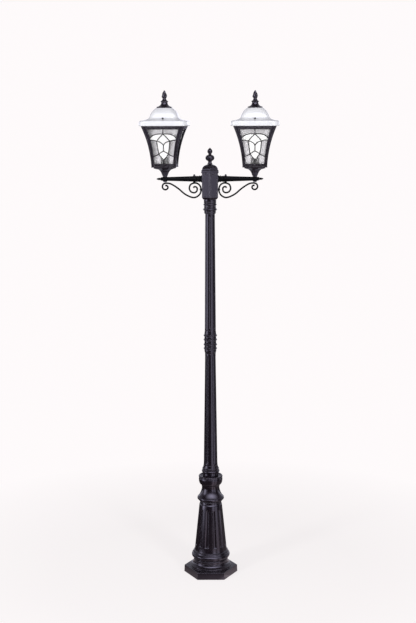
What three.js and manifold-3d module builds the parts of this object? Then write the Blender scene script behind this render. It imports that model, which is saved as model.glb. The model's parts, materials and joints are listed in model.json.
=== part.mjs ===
// A two-lantern street lamp post: a hexagonal plinth, a fluted base column, a
// slim two-piece pole with ringed collars, a hexagonal hub, two tapered arms
// held by scrolls, and two four-sided flared lanterns that turn on their stems.
//
// Millimetres, +Z up. The origin is the middle of the plinth's underside. The
// arms run along X, and the front of the post faces -Y.

import * as THREE from 'three';
import { mergeVertices } from 'three/addons/utils/BufferGeometryUtils.js';
import Module from 'manifold-3d';

const manifold = await Module();
manifold.setup();

// ---------------------------------------------------------------- dimensions

// Heights of the stack, from the ground up.
const PLINTH_EDGE_TOP = 36.5;
const COLUMN_BOTTOM = 67.5;
const BELL_BOTTOM = 380;
const NECK_BOTTOM = 486;
const CUP_SHELF = 513;
const LOWER_POLE_BOTTOM = 572;
const MIDDLE_COLLAR_BOTTOM = 1149;
const UPPER_POLE_BOTTOM = 1268;
const TOP_COLLAR_BOTTOM = 1849;
const HUB_BOTTOM = 1921;
const HUB_TOP = 2048.5;
const LID_TOP = 2091;
const ARM_HEIGHT = 2020;
const LANTERN_SEAT = 2030;

// Radii of the post's parts.
const PLINTH_CORNER_RADIUS = 137;
const PLINTH_HOLLOW_RADIUS = 68;
const PLINTH_FLOOR = 12;
const ROD_BOSS_RADIUS = 17;
const ROD_BOSS_TOP = 42;
const CABLE_ENTRY_RADIUS = 10;
const CABLE_ENTRY_OFFSET = 20;
const ANCHOR_HOLE_RADIUS = 7;
const ANCHOR_HOLE_CIRCLE = 50;
const POLE_WALL = 4;
const COLLAR_BORE_RADIUS = 19;
const HUB_FLAT = 39.5;
const HUB_WALL = 5;
const HUB_FLOOR = 15;

// Flutes.
const COLUMN_FLUTES = 12;
const COLUMN_FLUTE_DEPTH = 5;
const POLE_FLUTES = 6;
const POLE_FLUTE_DEPTH = 1.8;

// The rod that holds the stack together, and the wiring.
const ROD_RADIUS = 5;
const ROD_BOTTOM = 14;
const ROD_TOP = 2101;
const NUT_HEIGHT = 8;
const NUT_CORNER_RADIUS = 9.8;
const CABLE_RADIUS = 3.5;
const CABLE_OFFSET = 14.5;
const BLOCK_HALF_WIDTH = 15;
const WIRE_RADIUS = 2;
const WIRE_BORE_RADIUS = 4.5;

// Arms and scrolls. Reach is measured outwards from the post's axis.
const STEM_REACH = 220;
const ARM_TIP_REACH = 262;
const CLIP_REACH = 77;
const SCROLL_BAR_RADIUS = 3.8;
const HUB_SCREW_HEIGHT = 1968;

// Lanterns. Heights are measured up from the lantern's seat on its arm.
const FRAME_BOTTOM = 49.7;
const FRAME_TOP = 245.7;
const FRAME_FOOT_HALF = 59.5;
const FRAME_THICKNESS = 4;
const WINDOW_BOTTOM = 64;
const WINDOW_TOP = 230;
const CAME_WIDTH = 3.2;
const CAME_INSET = 6;
const CAME_THICKNESS = 2;
const GLASS_INSET = 8.5;
const GLASS_THICKNESS = 3;
const ROOF_SCREW_HEIGHT = 281.7;
const ROOF_DOME_TOP = 332.5;
const SPIGOT_RADIUS = 6;

// How far each lantern is turned on its stem, in degrees.
const LEFT_LANTERN_TURN = -3.4;
const RIGHT_LANTERN_TURN = -2.4;

// Running clearance, and the gap kept between pieces that meet.
const CLEARANCE = 0.4;
const GAP = 0.3;

// Facets.
const ROUND_SIDES = 16;
const SMALL_SIDES = 10;
const ARC_STEPS = 2;

// ------------------------------------------------------------------ finishes

const FINISHES = {
  blackPaint: { color: '#2b2a33', roughness: 0.42, metalness: 0.5 },
  whitePaint: { color: '#f1f2f5', roughness: 0.3, metalness: 0.1 },
  glass: { color: '#dfe2e4', roughness: 0.2, metalness: 0, transparent: true, opacity: 0.45 },
  opal: { color: '#f6f4ec', roughness: 0.35, metalness: 0 },
  zinc: { color: '#a7a9ac', roughness: 0.45, metalness: 0.9 },
  blackPlastic: { color: '#1b1b1d', roughness: 0.5, metalness: 0 },
};

// ------------------------------------------------------------- solid helpers

function toSolid(geometry) {
  const bare = geometry.clone();
  bare.deleteAttribute('normal');
  bare.deleteAttribute('uv');
  const merged = mergeVertices(bare, 1e-4);
  const triangles = [];
  for (let i = 0; i < merged.index.count; i += 3) {
    const [a, b, c] = [0, 1, 2].map((k) => merged.index.getX(i + k));
    if (a !== b && b !== c && c !== a) triangles.push(a, b, c);
  }
  return new manifold.Manifold(new manifold.Mesh({
    numProp: 3,
    vertProperties: new Float32Array(merged.attributes.position.array),
    triVerts: new Uint32Array(triangles),
  }));
}

function toGeometry(solid) {
  const mesh = solid.getMesh();
  const geometry = new THREE.BufferGeometry();
  geometry.setAttribute('position', new THREE.BufferAttribute(mesh.vertProperties, 3));
  geometry.setIndex(new THREE.BufferAttribute(mesh.triVerts, 1));
  return geometry;
}

function join(...geometries) {
  return toGeometry(geometries.map(toSolid).reduce((whole, next) => whole.add(next)));
}

function cut(geometry, ...cutters) {
  return toGeometry(cutters.map(toSolid).reduce((rest, next) => rest.subtract(next), toSolid(geometry)));
}

// Moves every vertex of a geometry by a rule that edits it in place.
function reshape(geometry, rule) {
  const position = geometry.attributes.position;
  const vertex = new THREE.Vector3();
  for (let i = 0; i < position.count; i += 1) {
    vertex.fromBufferAttribute(position, i);
    rule(vertex);
    position.setXYZ(i, vertex.x, vertex.y, vertex.z);
  }
  return geometry;
}

// ------------------------------------------------------------- shape helpers

// A piece turned about +Z from an outline of radius and height. Its first
// vertex faces the front, so a piece with few sides has a corner there.
function turned(outline, sides = ROUND_SIDES, arcSteps = ARC_STEPS) {
  const geometry = new THREE.LatheGeometry(outline.getPoints(arcSteps), sides);
  return geometry.rotateX(Math.PI / 2);
}

function outlineFrom(radius, height) {
  return new THREE.Path().moveTo(radius, height);
}

// Adds a half-round bead, centred at a height and standing out to a radius.
function bead(outline, radius, height, halfHeight) {
  return outline
    .lineTo(radius - halfHeight, height - halfHeight)
    .absarc(radius - halfHeight, height, halfHeight, -Math.PI / 2, Math.PI / 2, false);
}

// A plain upright cylinder between two heights.
function rod(radius, bottom, top, sides = SMALL_SIDES) {
  const height = top - bottom;
  return new THREE.CylinderGeometry(radius, radius, height, sides)
    .rotateX(Math.PI / 2)
    .translate(0, 0, bottom + height / 2);
}

// A plain cylinder along X between two reaches, at a height.
function rodAlongX(radius, start, end, height, sides = SMALL_SIDES) {
  return rod(radius, start, end, sides).rotateY(Math.PI / 2).translate(0, 0, height);
}

// A hexagonal prism or ring with its corners to the front and back.
function hexNut(cornerRadius, boreRadius, bottom, top) {
  return cut(rod(cornerRadius, bottom, top, 6), rod(boreRadius, bottom - 1, top + 1));
}

// Presses upright grooves into a turned piece between two heights. The first
// groove is centred on the front, turned by firstAngle.
function flute(geometry, { count, depth, bottom, top, firstAngle = 0 }) {
  return reshape(geometry, (vertex) => {
    if (vertex.z < bottom || vertex.z > top) return;
    const radius = Math.hypot(vertex.x, vertex.y);
    if (radius < depth) return;
    const angle = Math.atan2(vertex.x, -vertex.y) - firstAngle;
    const groove = depth * Math.max(0, Math.cos(count * angle));
    const scale = (radius - groove) / radius;
    vertex.x *= scale;
    vertex.y *= scale;
  });
}

// Turns round sections into rounded squares. A sharpness of 2 stays round, and
// a higher one is squarer.
function squareOff(geometry, sharpnessAt) {
  return reshape(geometry, (vertex) => {
    const angle = Math.atan2(vertex.y, vertex.x);
    const n = sharpnessAt(vertex.z);
    const sum = Math.abs(Math.cos(angle)) ** n + Math.abs(Math.sin(angle)) ** n;
    const swell = sum ** (-1 / n);
    vertex.x *= swell;
    vertex.y *= swell;
  });
}

// ------------------------------------------------------------ base and poles

function basePlinth() {
  const hexagon = new THREE.CylinderGeometry(
    PLINTH_CORNER_RADIUS - 2, PLINTH_CORNER_RADIUS, PLINTH_EDGE_TOP, 6)
    .rotateX(Math.PI / 2)
    .rotateZ(Math.PI / 2)
    .translate(0, 0, PLINTH_EDGE_TOP / 2);
  const moulding = outlineFrom(0, PLINTH_EDGE_TOP - 5);
  moulding.lineTo(104, PLINTH_EDGE_TOP - 5)
    .lineTo(104, PLINTH_EDGE_TOP + 6.5)
    .lineTo(102, PLINTH_EDGE_TOP + 10)
    .quadraticCurveTo(90, PLINTH_EDGE_TOP + 13.5, 88, COLUMN_BOTTOM)
    .lineTo(0, COLUMN_BOTTOM);
  const anchorHoles = [45, 135, 225, 315].map((degrees) => {
    const angle = THREE.MathUtils.degToRad(degrees);
    return rod(ANCHOR_HOLE_RADIUS, -1, PLINTH_FLOOR + 1).translate(
      ANCHOR_HOLE_CIRCLE * Math.cos(angle), ANCHOR_HOLE_CIRCLE * Math.sin(angle), 0);
  });
  const hollow = rod(PLINTH_HOLLOW_RADIUS, PLINTH_FLOOR, COLUMN_BOTTOM + 1, ROUND_SIDES);
  const boss = rod(ROD_BOSS_RADIUS, PLINTH_FLOOR - 1, ROD_BOSS_TOP, ROUND_SIDES);
  const cableEntry = rod(CABLE_ENTRY_RADIUS, -1, ROD_BOSS_TOP + 1).translate(0, CABLE_ENTRY_OFFSET, 0);
  return cut(
    join(cut(join(hexagon, turned(moulding, 24, 3)), hollow), boss),
    rod(ROD_RADIUS + CLEARANCE, ROD_BOTTOM - CLEARANCE, ROD_BOSS_TOP + 1),
    cableEntry,
    ...anchorHoles,
  );
}

function baseColumn() {
  const shaftFoot = new THREE.Vector2(82, 125);
  const shaftHead = new THREE.Vector2(57.8, 364);
  const fluteLevels = [148, 157, 200, 334, 343];
  const outline = outlineFrom(0, COLUMN_BOTTOM);
  outline.lineTo(88, COLUMN_BOTTOM)
    .lineTo(87.5, 77)
    .lineTo(85, 80)
    .lineTo(85, 85)
    .quadraticCurveTo(97, 86, 97.5, 96)
    .quadraticCurveTo(97.5, 106, 91, 111)
    .lineTo(88.5, 118)
    .lineTo(84, 121.5)
    .lineTo(shaftFoot.x, shaftFoot.y);
  for (const level of fluteLevels) {
    const share = (level - shaftFoot.y) / (shaftHead.y - shaftFoot.y);
    outline.lineTo(THREE.MathUtils.lerp(shaftFoot.x, shaftHead.x, share), level);
  }
  outline.lineTo(shaftHead.x, shaftHead.y)
    .lineTo(53.5, BELL_BOTTOM)
    .lineTo(0, BELL_BOTTOM);
  const grooved = flute(turned(outline, COLUMN_FLUTES * 2), {
    count: COLUMN_FLUTES,
    depth: COLUMN_FLUTE_DEPTH,
    bottom: 154,
    top: 339,
    firstAngle: Math.PI / COLUMN_FLUTES,
  });
  const hollow = outlineFrom(0, COLUMN_BOTTOM - 1);
  hollow.lineTo(74, COLUMN_BOTTOM - 1)
    .lineTo(70, 125)
    .lineTo(47, BELL_BOTTOM + 1)
    .lineTo(0, BELL_BOTTOM + 1);
  return cut(grooved, turned(hollow));
}

function baseBell() {
  const outline = outlineFrom(46, BELL_BOTTOM);
  outline.lineTo(56, BELL_BOTTOM)
    .lineTo(57.8, 383)
    .lineTo(57.8, 387)
    .quadraticCurveTo(71.5, 396.5, 66, 406.5)
    .quadraticCurveTo(49, 425, 44.4, 452)
    .quadraticCurveTo(45.5, 468, 53.5, 476)
    .quadraticCurveTo(62, 488, 61.2, 504)
    .lineTo(58.6, 517)
    .lineTo(54, 517)
    .lineTo(52.5, CUP_SHELF)
    .lineTo(39.8, CUP_SHELF)
    .lineTo(39.8, NECK_BOTTOM)
    .lineTo(32, NECK_BOTTOM)
    .lineTo(32, NECK_BOTTOM - 8)
    .quadraticCurveTo(39, 470, 38.5, 452)
    .quadraticCurveTo(39, 420, 46, BELL_BOTTOM);
  return turned(outline);
}

function neckRing() {
  const outline = outlineFrom(24, NECK_BOTTOM);
  outline.lineTo(39, NECK_BOTTOM).lineTo(39, 530);
  bead(outline, 45.4, 540, 6);
  bead(outline, 42.5, 551, 4);
  outline.quadraticCurveTo(37, 561, 36, LOWER_POLE_BOTTOM)
    .lineTo(24, LOWER_POLE_BOTTOM)
    .closePath();
  return turned(outline);
}

// One length of tapered pole with grooves that stop short of both ends.
function pole({ bottom, top, bottomRadius, topRadius, firstAngle }) {
  const grooveBottom = bottom + 10;
  const grooveTop = top - 11;
  const levels = [grooveBottom - 3, grooveBottom, grooveTop, grooveTop + 3];
  const radiusAt = (z) => THREE.MathUtils.mapLinear(z, bottom, top, bottomRadius, topRadius);
  const outline = outlineFrom(0, bottom);
  outline.lineTo(bottomRadius, bottom);
  for (const level of levels) outline.lineTo(radiusAt(level), level);
  outline.lineTo(topRadius, top).lineTo(0, top);
  const grooved = flute(turned(outline, POLE_FLUTES * 4), {
    count: POLE_FLUTES, depth: POLE_FLUTE_DEPTH, bottom: grooveBottom - 1, top: grooveTop + 1, firstAngle,
  });
  const hollow = outlineFrom(0, bottom - 1);
  hollow.lineTo(bottomRadius - POLE_WALL - 1, bottom - 1)
    .lineTo(topRadius - POLE_WALL, top + 1)
    .lineTo(0, top + 1);
  return cut(grooved, turned(hollow, ROUND_SIDES));
}

function middleCollar() {
  const outline = outlineFrom(COLLAR_BORE_RADIUS, MIDDLE_COLLAR_BOTTOM);
  outline.lineTo(26.6, MIDDLE_COLLAR_BOTTOM).lineTo(28, 1159).lineTo(29.8, 1164);
  for (const ringHeight of [1176, 1195.5, 1220.5, 1241.5]) bead(outline, 33.6, ringHeight, 4.5);
  outline.lineTo(28.5, 1257)
    .lineTo(27.6, UPPER_POLE_BOTTOM)
    .lineTo(COLLAR_BORE_RADIUS, UPPER_POLE_BOTTOM)
    .closePath();
  return turned(outline);
}

function topCollar() {
  const outline = outlineFrom(COLLAR_BORE_RADIUS, TOP_COLLAR_BOTTOM);
  outline.lineTo(26.5, TOP_COLLAR_BOTTOM).lineTo(29.3, 1857);
  bead(outline, 34, 1871, 5);
  outline.lineTo(29.2, 1883);
  bead(outline, 32.9, 1895, 4.5);
  outline.lineTo(30.2, 1905)
    .lineTo(30.2, HUB_BOTTOM)
    .lineTo(COLLAR_BORE_RADIUS, HUB_BOTTOM)
    .closePath();
  return turned(outline);
}

// ----------------------------------------------------------------------- hub

// The reach of a hexagon's corner for a flat at a given distance.
const hexCorner = (flat) => flat / Math.cos(Math.PI / 6);

function hubBox() {
  const outline = outlineFrom(0, HUB_BOTTOM);
  outline.lineTo(hexCorner(33), HUB_BOTTOM)
    .lineTo(hexCorner(HUB_FLAT), HUB_BOTTOM + 10)
    .lineTo(hexCorner(HUB_FLAT), HUB_TOP)
    .lineTo(hexCorner(HUB_FLAT - HUB_WALL), HUB_TOP)
    .lineTo(hexCorner(HUB_FLAT - HUB_WALL), HUB_BOTTOM + HUB_FLOOR)
    .lineTo(0, HUB_BOTTOM + HUB_FLOOR);
  return cut(
    turned(outline, 6),
    rod(ROD_RADIUS + CLEARANCE, HUB_BOTTOM - 1, HUB_BOTTOM + HUB_FLOOR + 1),
    rod(CABLE_RADIUS + CLEARANCE, HUB_BOTTOM - 1, HUB_BOTTOM + HUB_FLOOR + 1).translate(0, CABLE_OFFSET, 0),
    rodAlongX(WIRE_BORE_RADIUS, -HUB_FLAT - 2, HUB_FLAT + 2, ARM_HEIGHT),
    rodAlongX(1.9, -HUB_FLAT - 2, HUB_FLAT + 2, HUB_SCREW_HEIGHT),
  );
}

function hubLid() {
  const domeFlat = 38.5;
  const bore = hexCorner(5.5);
  const outline = outlineFrom(bore, HUB_TOP + 12);
  outline.lineTo(hexCorner(34), HUB_TOP + 12)
    .lineTo(hexCorner(38), HUB_TOP)
    .lineTo(hexCorner(42.5), HUB_TOP)
    .lineTo(hexCorner(42.5), HUB_TOP + 14)
    .lineTo(hexCorner(domeFlat), HUB_TOP + 17.5)
    .absellipse(0, HUB_TOP + 17.5, hexCorner(domeFlat), LID_TOP - HUB_TOP - 17.5, 0, 1.2, false)
    .lineTo(bore, LID_TOP)
    .closePath();
  return turned(outline, 6, 3);
}

function hubFinial() {
  const bore = ROD_RADIUS + CLEARANCE;
  const outline = outlineFrom(0, ROD_TOP + CLEARANCE);
  outline.lineTo(bore, ROD_TOP + CLEARANCE)
    .lineTo(bore, LID_TOP + GAP)
    .lineTo(14, LID_TOP + GAP)
    .quadraticCurveTo(9, 2096, 9.5, 2106)
    .quadraticCurveTo(22, 2112, 22.2, 2123)
    .quadraticCurveTo(22.2, 2130, 14, 2136)
    .lineTo(7, 2140)
    .quadraticCurveTo(13.5, 2148, 12.6, 2155)
    .quadraticCurveTo(9, 2162, 0, 2171);
  return turned(outline, 12, 3);
}

// -------------------------------------------------------------- inner pieces

// The connector block stands behind the rod, over the end of the supply cable.
function terminalBlock() {
  const block = new THREE.BoxGeometry(2 * BLOCK_HALF_WIDTH, 20, 24).translate(0, 18, ARM_HEIGHT);
  const screwWells = [-8, 0, 8].map((x) => rod(2.5, ARM_HEIGHT + 6, ARM_HEIGHT + 13, 8).translate(x, 18, 0));
  return cut(block, ...screwWells);
}

// A wire that leaves the side of the block and runs down the middle of an arm.
// The block is behind the rod, which is backwards as seen by the turned arm.
function armWire(backwards) {
  const path = new THREE.CatmullRomCurve3([
    new THREE.Vector3(BLOCK_HALF_WIDTH + 1, backwards * 13, ARM_HEIGHT),
    new THREE.Vector3(22, backwards * 11, ARM_HEIGHT),
    new THREE.Vector3(29, backwards * 2, ARM_HEIGHT),
    new THREE.Vector3(38, 0, ARM_HEIGHT),
    new THREE.Vector3(STEM_REACH - 10, 0, ARM_HEIGHT),
  ]);
  const section = new THREE.Shape().absarc(0, 0, WIRE_RADIUS, 0, 2 * Math.PI, false);
  return new THREE.ExtrudeGeometry(section, {
    curveSegments: 3, steps: 30, bevelEnabled: false, extrudePath: path,
  });
}

// ---------------------------------------------------------- arms and scrolls

function arm() {
  const start = HUB_FLAT;
  const outline = outlineFrom(0, start);
  outline.lineTo(17.5, start).lineTo(17.5, start + 4).lineTo(15, start + 6);
  bead(outline, 16.5, start + 12, 3);
  outline.lineTo(14.5, start + 20);
  bead(outline, 16, 68, 3);
  outline.lineTo(13.5, 73)
    .lineTo(13.2, 84)
    .lineTo(9.8, STEM_REACH - 12)
    .lineTo(9, STEM_REACH + 14)
    .lineTo(7.4, STEM_REACH + 21)
    .lineTo(5, STEM_REACH + 23)
    .quadraticCurveTo(6.5, STEM_REACH + 30, 0, ARM_TIP_REACH);
  const taper = turned(outline, SMALL_SIDES).rotateY(Math.PI / 2).translate(0, 0, ARM_HEIGHT);
  const boss = rod(12, ARM_HEIGHT - 11, LANTERN_SEAT, 16).translate(STEM_REACH, 0, 0);
  return cut(
    join(taper, boss),
    rodAlongX(WIRE_BORE_RADIUS, start - 1, STEM_REACH, ARM_HEIGHT),
    rod(SPIGOT_RADIUS + CLEARANCE, ARM_HEIGHT - 12, LANTERN_SEAT + 1).translate(STEM_REACH, 0, 0),
    rod(2.9, ARM_HEIGHT, ARM_HEIGHT + 20).translate(CLIP_REACH, 0, 0),
    rod(2.9, ARM_HEIGHT - 20, ARM_HEIGHT).translate(CLIP_REACH, 0, 0),
  );
}

// The bar's centre line: a large spiral beside the hub, a long S-shaped
// stretch, and a small spiral under the lantern. A spiral is a list of
// [angle in degrees, radius] about its own centre.
function scrollCentreLine() {
  const hubSpiral = {
    centre: [76.8, 1973.5],
    turns: [[-330, 5], [-270, 8], [-220, 11], [-180, 14], [-130, 18], [-90, 21], [-45, 23], [0, 24.5],
      [50, 26], [105, 27.3], [150, 30.5], [195, 34.3], [235, 40], [275, 45]],
  };
  const lanternSpiral = {
    centre: [216.6, 1982.1],
    turns: [[102, 17.5], [50, 17.3], [0, 16.8], [-45, 16], [-90, 14.5], [-135, 12.3], [-180, 10], [-240, 7],
      [-300, 4.5]],
  };
  const pointsOf = ({ centre, turns }) => turns.map(([degrees, radius]) => {
    const angle = THREE.MathUtils.degToRad(degrees);
    return new THREE.Vector3(centre[0] + radius * Math.cos(angle), 0, centre[1] + radius * Math.sin(angle));
  });
  const sweep = [[120, 1944], [156, 1973.5], [190, 1995]].map(([x, z]) => new THREE.Vector3(x, 0, z));
  return new THREE.CatmullRomCurve3([...pointsOf(hubSpiral), ...sweep, ...pointsOf(lanternSpiral)]);
}

function scrollBar(radius) {
  const section = new THREE.Shape().absarc(0, 0, radius, 0, 2 * Math.PI, false);
  return new THREE.ExtrudeGeometry(section, {
    curveSegments: 3, steps: 50, bevelEnabled: false, extrudePath: scrollCentreLine(),
  });
}

function scroll() {
  return cut(scrollBar(SCROLL_BAR_RADIUS), rodAlongX(1.7, HUB_FLAT - 1, HUB_FLAT + 12, HUB_SCREW_HEIGHT, 8));
}

// A saddle under the arm that grips the top of the large spiral.
function scrollClip() {
  const block = new THREE.BoxGeometry(12, 14, 9.5).translate(CLIP_REACH, 0, ARM_HEIGHT - 18.6);
  const stud = rod(2.4, ARM_HEIGHT - 14, ARM_HEIGHT - 8, 8).translate(CLIP_REACH, 0, 0);
  return cut(join(block, stud), scrollBar(SCROLL_BAR_RADIUS + GAP));
}

function armKnob() {
  const seat = ARM_HEIGHT + 13.6;
  const outline = outlineFrom(0, ARM_HEIGHT + 6);
  outline.lineTo(2.4, ARM_HEIGHT + 6)
    .lineTo(2.4, seat)
    .lineTo(6.2, seat)
    .lineTo(6.2, seat + 3)
    .absellipse(0, seat + 3, 5, 6, 0, Math.PI / 2, false);
  return turned(outline, SMALL_SIDES).translate(CLIP_REACH, 0, 0);
}

// A round-headed screw through the bar and the hub's wall.
function hubScrew() {
  const headStart = HUB_FLAT + 8.2;
  const outline = outlineFrom(0, HUB_FLAT - 8);
  outline.lineTo(1.4, HUB_FLAT - 8)
    .lineTo(1.4, headStart)
    .lineTo(4.4, headStart)
    .absellipse(0, headStart, 4.4, 3.2, 0, Math.PI / 2, false);
  return turned(outline, 8).rotateY(Math.PI / 2).translate(0, 0, HUB_SCREW_HEIGHT);
}

// ------------------------------------------------------------------ lanterns

// How far up the flared frame a height is, from 0 at the foot to 1 at the top.
const frameShare = (height) => Math.max(0, (height - FRAME_BOTTOM) / (FRAME_TOP - FRAME_BOTTOM));

// Half the frame's outer width at a height: nearly upright at the foot, and
// curving outwards to the top.
function frameHalf(height) {
  const share = frameShare(height);
  return FRAME_FOOT_HALF + 12 * share + 33 * share ** 2.2;
}

// Half the window's width at a height.
const windowHalf = (height) => frameHalf(height) - 14.6 - 9.5 * frameShare(height) ** 1.4;

function levelsBetween(bottom, top, steps) {
  return Array.from({ length: steps + 1 }, (_, i) => bottom + ((top - bottom) * i) / steps);
}

function lanternBase() {
  const plateTop = FRAME_BOTTOM - GAP;
  const outline = outlineFrom(0, -26);
  outline.lineTo(SPIGOT_RADIUS, -26)
    .lineTo(SPIGOT_RADIUS, GAP)
    .lineTo(11, GAP)
    .lineTo(12.5, 8)
    .quadraticCurveTo(15, 22, 25, 31)
    .lineTo(30.5, 35)
    .quadraticCurveTo(37, 37, 46, 41)
    .lineTo(51, 42.5)
    .lineTo(51, 47)
    .lineTo(57.5, 47.4)
    .lineTo(57.5, plateTop)
    .lineTo(0, plateTop);
  const bell = squareOff(turned(outline, 16), (z) => (z > 40.9 ? 16 : 2));
  return cut(bell, rod(3.4, -27, plateTop + 1));
}

function lanternFrame() {
  const corner = Math.SQRT2;
  const shell = outlineFrom((FRAME_FOOT_HALF - FRAME_THICKNESS) * corner, FRAME_BOTTOM);
  const levels = levelsBetween(FRAME_BOTTOM, FRAME_TOP, 7);
  for (const z of levels) shell.lineTo(frameHalf(z) * corner, z);
  for (const z of levels.reverse()) shell.lineTo((frameHalf(z) - FRAME_THICKNESS) * corner, z);
  const box = turned(shell, 4).rotateZ(Math.PI / 4);

  const window = new THREE.Shape();
  const sides = levelsBetween(WINDOW_BOTTOM, WINDOW_TOP, 6);
  window.moveTo(-windowHalf(WINDOW_BOTTOM), WINDOW_BOTTOM);
  for (const z of sides) window.lineTo(windowHalf(z), z);
  for (const z of sides.reverse()) window.lineTo(-windowHalf(z), z);
  const through = new THREE.ExtrudeGeometry(window, { depth: 260, bevelEnabled: false })
    .translate(0, 0, -130)
    .rotateX(Math.PI / 2);
  return cut(box, through, through.clone().rotateZ(Math.PI / 2));
}

// Lays a flat piece of unit depth, facing -Y, onto the frame's curved front at
// an inset from the frame's outer face.
function layOnFront(geometry, inset, thickness) {
  return reshape(geometry, (vertex) => {
    const depth = vertex.y < 0 ? 0 : thickness;
    vertex.y = depth + inset - frameHalf(vertex.z);
  });
}

function glassPane() {
  const height = WINDOW_TOP + 6 - (WINDOW_BOTTOM - 10);
  const sheet = new THREE.BoxGeometry(2, 1, height, 1, 1, 7)
    .translate(0, 0, WINDOW_BOTTOM - 10 + height / 2);
  reshape(sheet, (vertex) => {
    vertex.x *= frameHalf(vertex.z) - GLASS_INSET - GLASS_THICKNESS - GAP;
  });
  return layOnFront(sheet, GLASS_INSET, GLASS_THICKNESS);
}

// The cells of one side's leaded pattern, anticlockwise, as [across, height]
// corners. A cell that stands clear of the middle is also used mirrored.
function patternCells() {
  const crown = [0, 207.5];
  const shoulder = [32, 173.5];
  const waist = [0, 153.5];
  const heart = [0, 125.5];
  const hip = [23, 112];
  const foot = [0, 83.5];
  const edgeAt = (height) => [windowHalf(height) + 2, height];
  const mirrored = ([across, height]) => [-across, height];
  const middle = [
    [crown, mirrored(shoulder), waist, shoulder],
    [heart, mirrored(hip), foot, hip],
  ];
  const right = [
    [[0, WINDOW_TOP], crown, edgeAt(186), edgeAt(WINDOW_TOP)],
    [crown, shoulder, edgeAt(178), edgeAt(186)],
    [waist, heart, hip, shoulder],
    [shoulder, hip, edgeAt(100), edgeAt(178)],
    [foot, [0, WINDOW_BOTTOM], edgeAt(WINDOW_BOTTOM), edgeAt(100), hip],
  ];
  const left = right.map((cell) => cell.map(mirrored).reverse());
  return [...middle, ...right, ...left];
}

// Moves every edge of an anticlockwise cell inwards by a margin.
function insetCell(cell, margin) {
  const corners = cell.map(([across, height]) => new THREE.Vector2(across, height));
  const inwards = corners.map((corner, i) => {
    const next = corners[(i + 1) % corners.length];
    return new THREE.Vector2(corner.y - next.y, next.x - corner.x).normalize();
  });
  return corners.map((corner, i) => {
    const before = inwards[(i + corners.length - 1) % corners.length];
    const after = inwards[i];
    const shift = before.clone().add(after).multiplyScalar(margin / (1 + before.dot(after)));
    return corner.clone().add(shift);
  });
}

// One side's lattice: a sheet with its cells cut out, bent to the frame. The
// sheet's edges are mitred, so that four of them meet at the corners.
function cameLattice() {
  const levels = levelsBetween(WINDOW_BOTTOM - 5, WINDOW_TOP + 4, 4);
  const reachAt = (height) => frameHalf(height) - CAME_INSET;
  const sheet = new THREE.Shape([
    ...levels.map((height) => new THREE.Vector2(reachAt(height), height)),
    ...levels.reverse().map((height) => new THREE.Vector2(-reachAt(height), height)),
  ]);
  const thicken = (shape, depth) => new THREE.ExtrudeGeometry(shape, { depth, bevelEnabled: false })
    .translate(0, 0, (1 - depth) / 2)
    .rotateX(Math.PI / 2);
  const holes = patternCells().map((cell) => thicken(new THREE.Shape(insetCell(cell, CAME_WIDTH / 2)), 3));
  const lattice = cut(thicken(sheet, 1), ...holes);
  reshape(lattice, (vertex) => {
    const reach = reachAt(vertex.z);
    const innerReach = reach - CAME_THICKNESS + 0.01;
    if (vertex.y > -0.5) vertex.x = THREE.MathUtils.clamp(vertex.x, -innerReach, innerReach);
  });
  return layOnFront(lattice, CAME_INSET, CAME_THICKNESS);
}

// The four lattices of one lantern, folded into a cage.
function cameCage() {
  const lattice = cameLattice();
  return join(...[0, 1, 2, 3].map((turn) => lattice.clone().rotateZ((turn * Math.PI) / 2)));
}

function lampholder() {
  const bottom = FRAME_BOTTOM;
  const outline = outlineFrom(4, bottom);
  outline.lineTo(17, bottom)
    .lineTo(21, bottom + 8)
    .lineTo(21, bottom + 40)
    .lineTo(19, bottom + 44)
    .lineTo(14.2, bottom + 44)
    .lineTo(14.2, bottom + 14)
    .lineTo(4, bottom + 14)
    .closePath();
  return turned(outline, 12);
}

function bulb() {
  const cap = FRAME_BOTTOM + 15;
  const outline = outlineFrom(0, cap);
  outline.lineTo(5, cap)
    .lineTo(13.2, cap + 4)
    .lineTo(13.2, cap + 28)
    .quadraticCurveTo(17, cap + 42, 28, cap + 62)
    .absellipse(0, cap + 84, 30, 29, -0.6, Math.PI / 2, false);
  return turned(outline, 12);
}

function roof() {
  const outline = outlineFrom(100, 262);
  outline.lineTo(100, FRAME_TOP + GAP)
    .lineTo(116, FRAME_TOP + GAP)
    .quadraticCurveTo(118, FRAME_TOP + GAP, 118, 249)
    .lineTo(118, 264)
    .quadraticCurveTo(117.5, 270, 110, 271.5)
    .quadraticCurveTo(73, 275, 69.5, 288)
    .quadraticCurveTo(62, 317, 38, ROOF_DOME_TOP)
    .lineTo(4, ROOF_DOME_TOP)
    .lineTo(4, ROOF_DOME_TOP - 4)
    .lineTo(35, ROOF_DOME_TOP - 4)
    .lineTo(53, 311)
    .lineTo(64, 286)
    .lineTo(74, 270)
    .closePath();
  const shell = squareOff(turned(outline, 16), (z) => THREE.MathUtils.mapLinear(z, 246, ROOF_DOME_TOP, 7, 4));
  const screwHole = rod(2.2, 60, 100, 8).rotateX(Math.PI / 2).translate(0, 0, ROOF_SCREW_HEIGHT);
  return cut(shell, screwHole, screwHole.clone().rotateZ(Math.PI));
}

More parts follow.
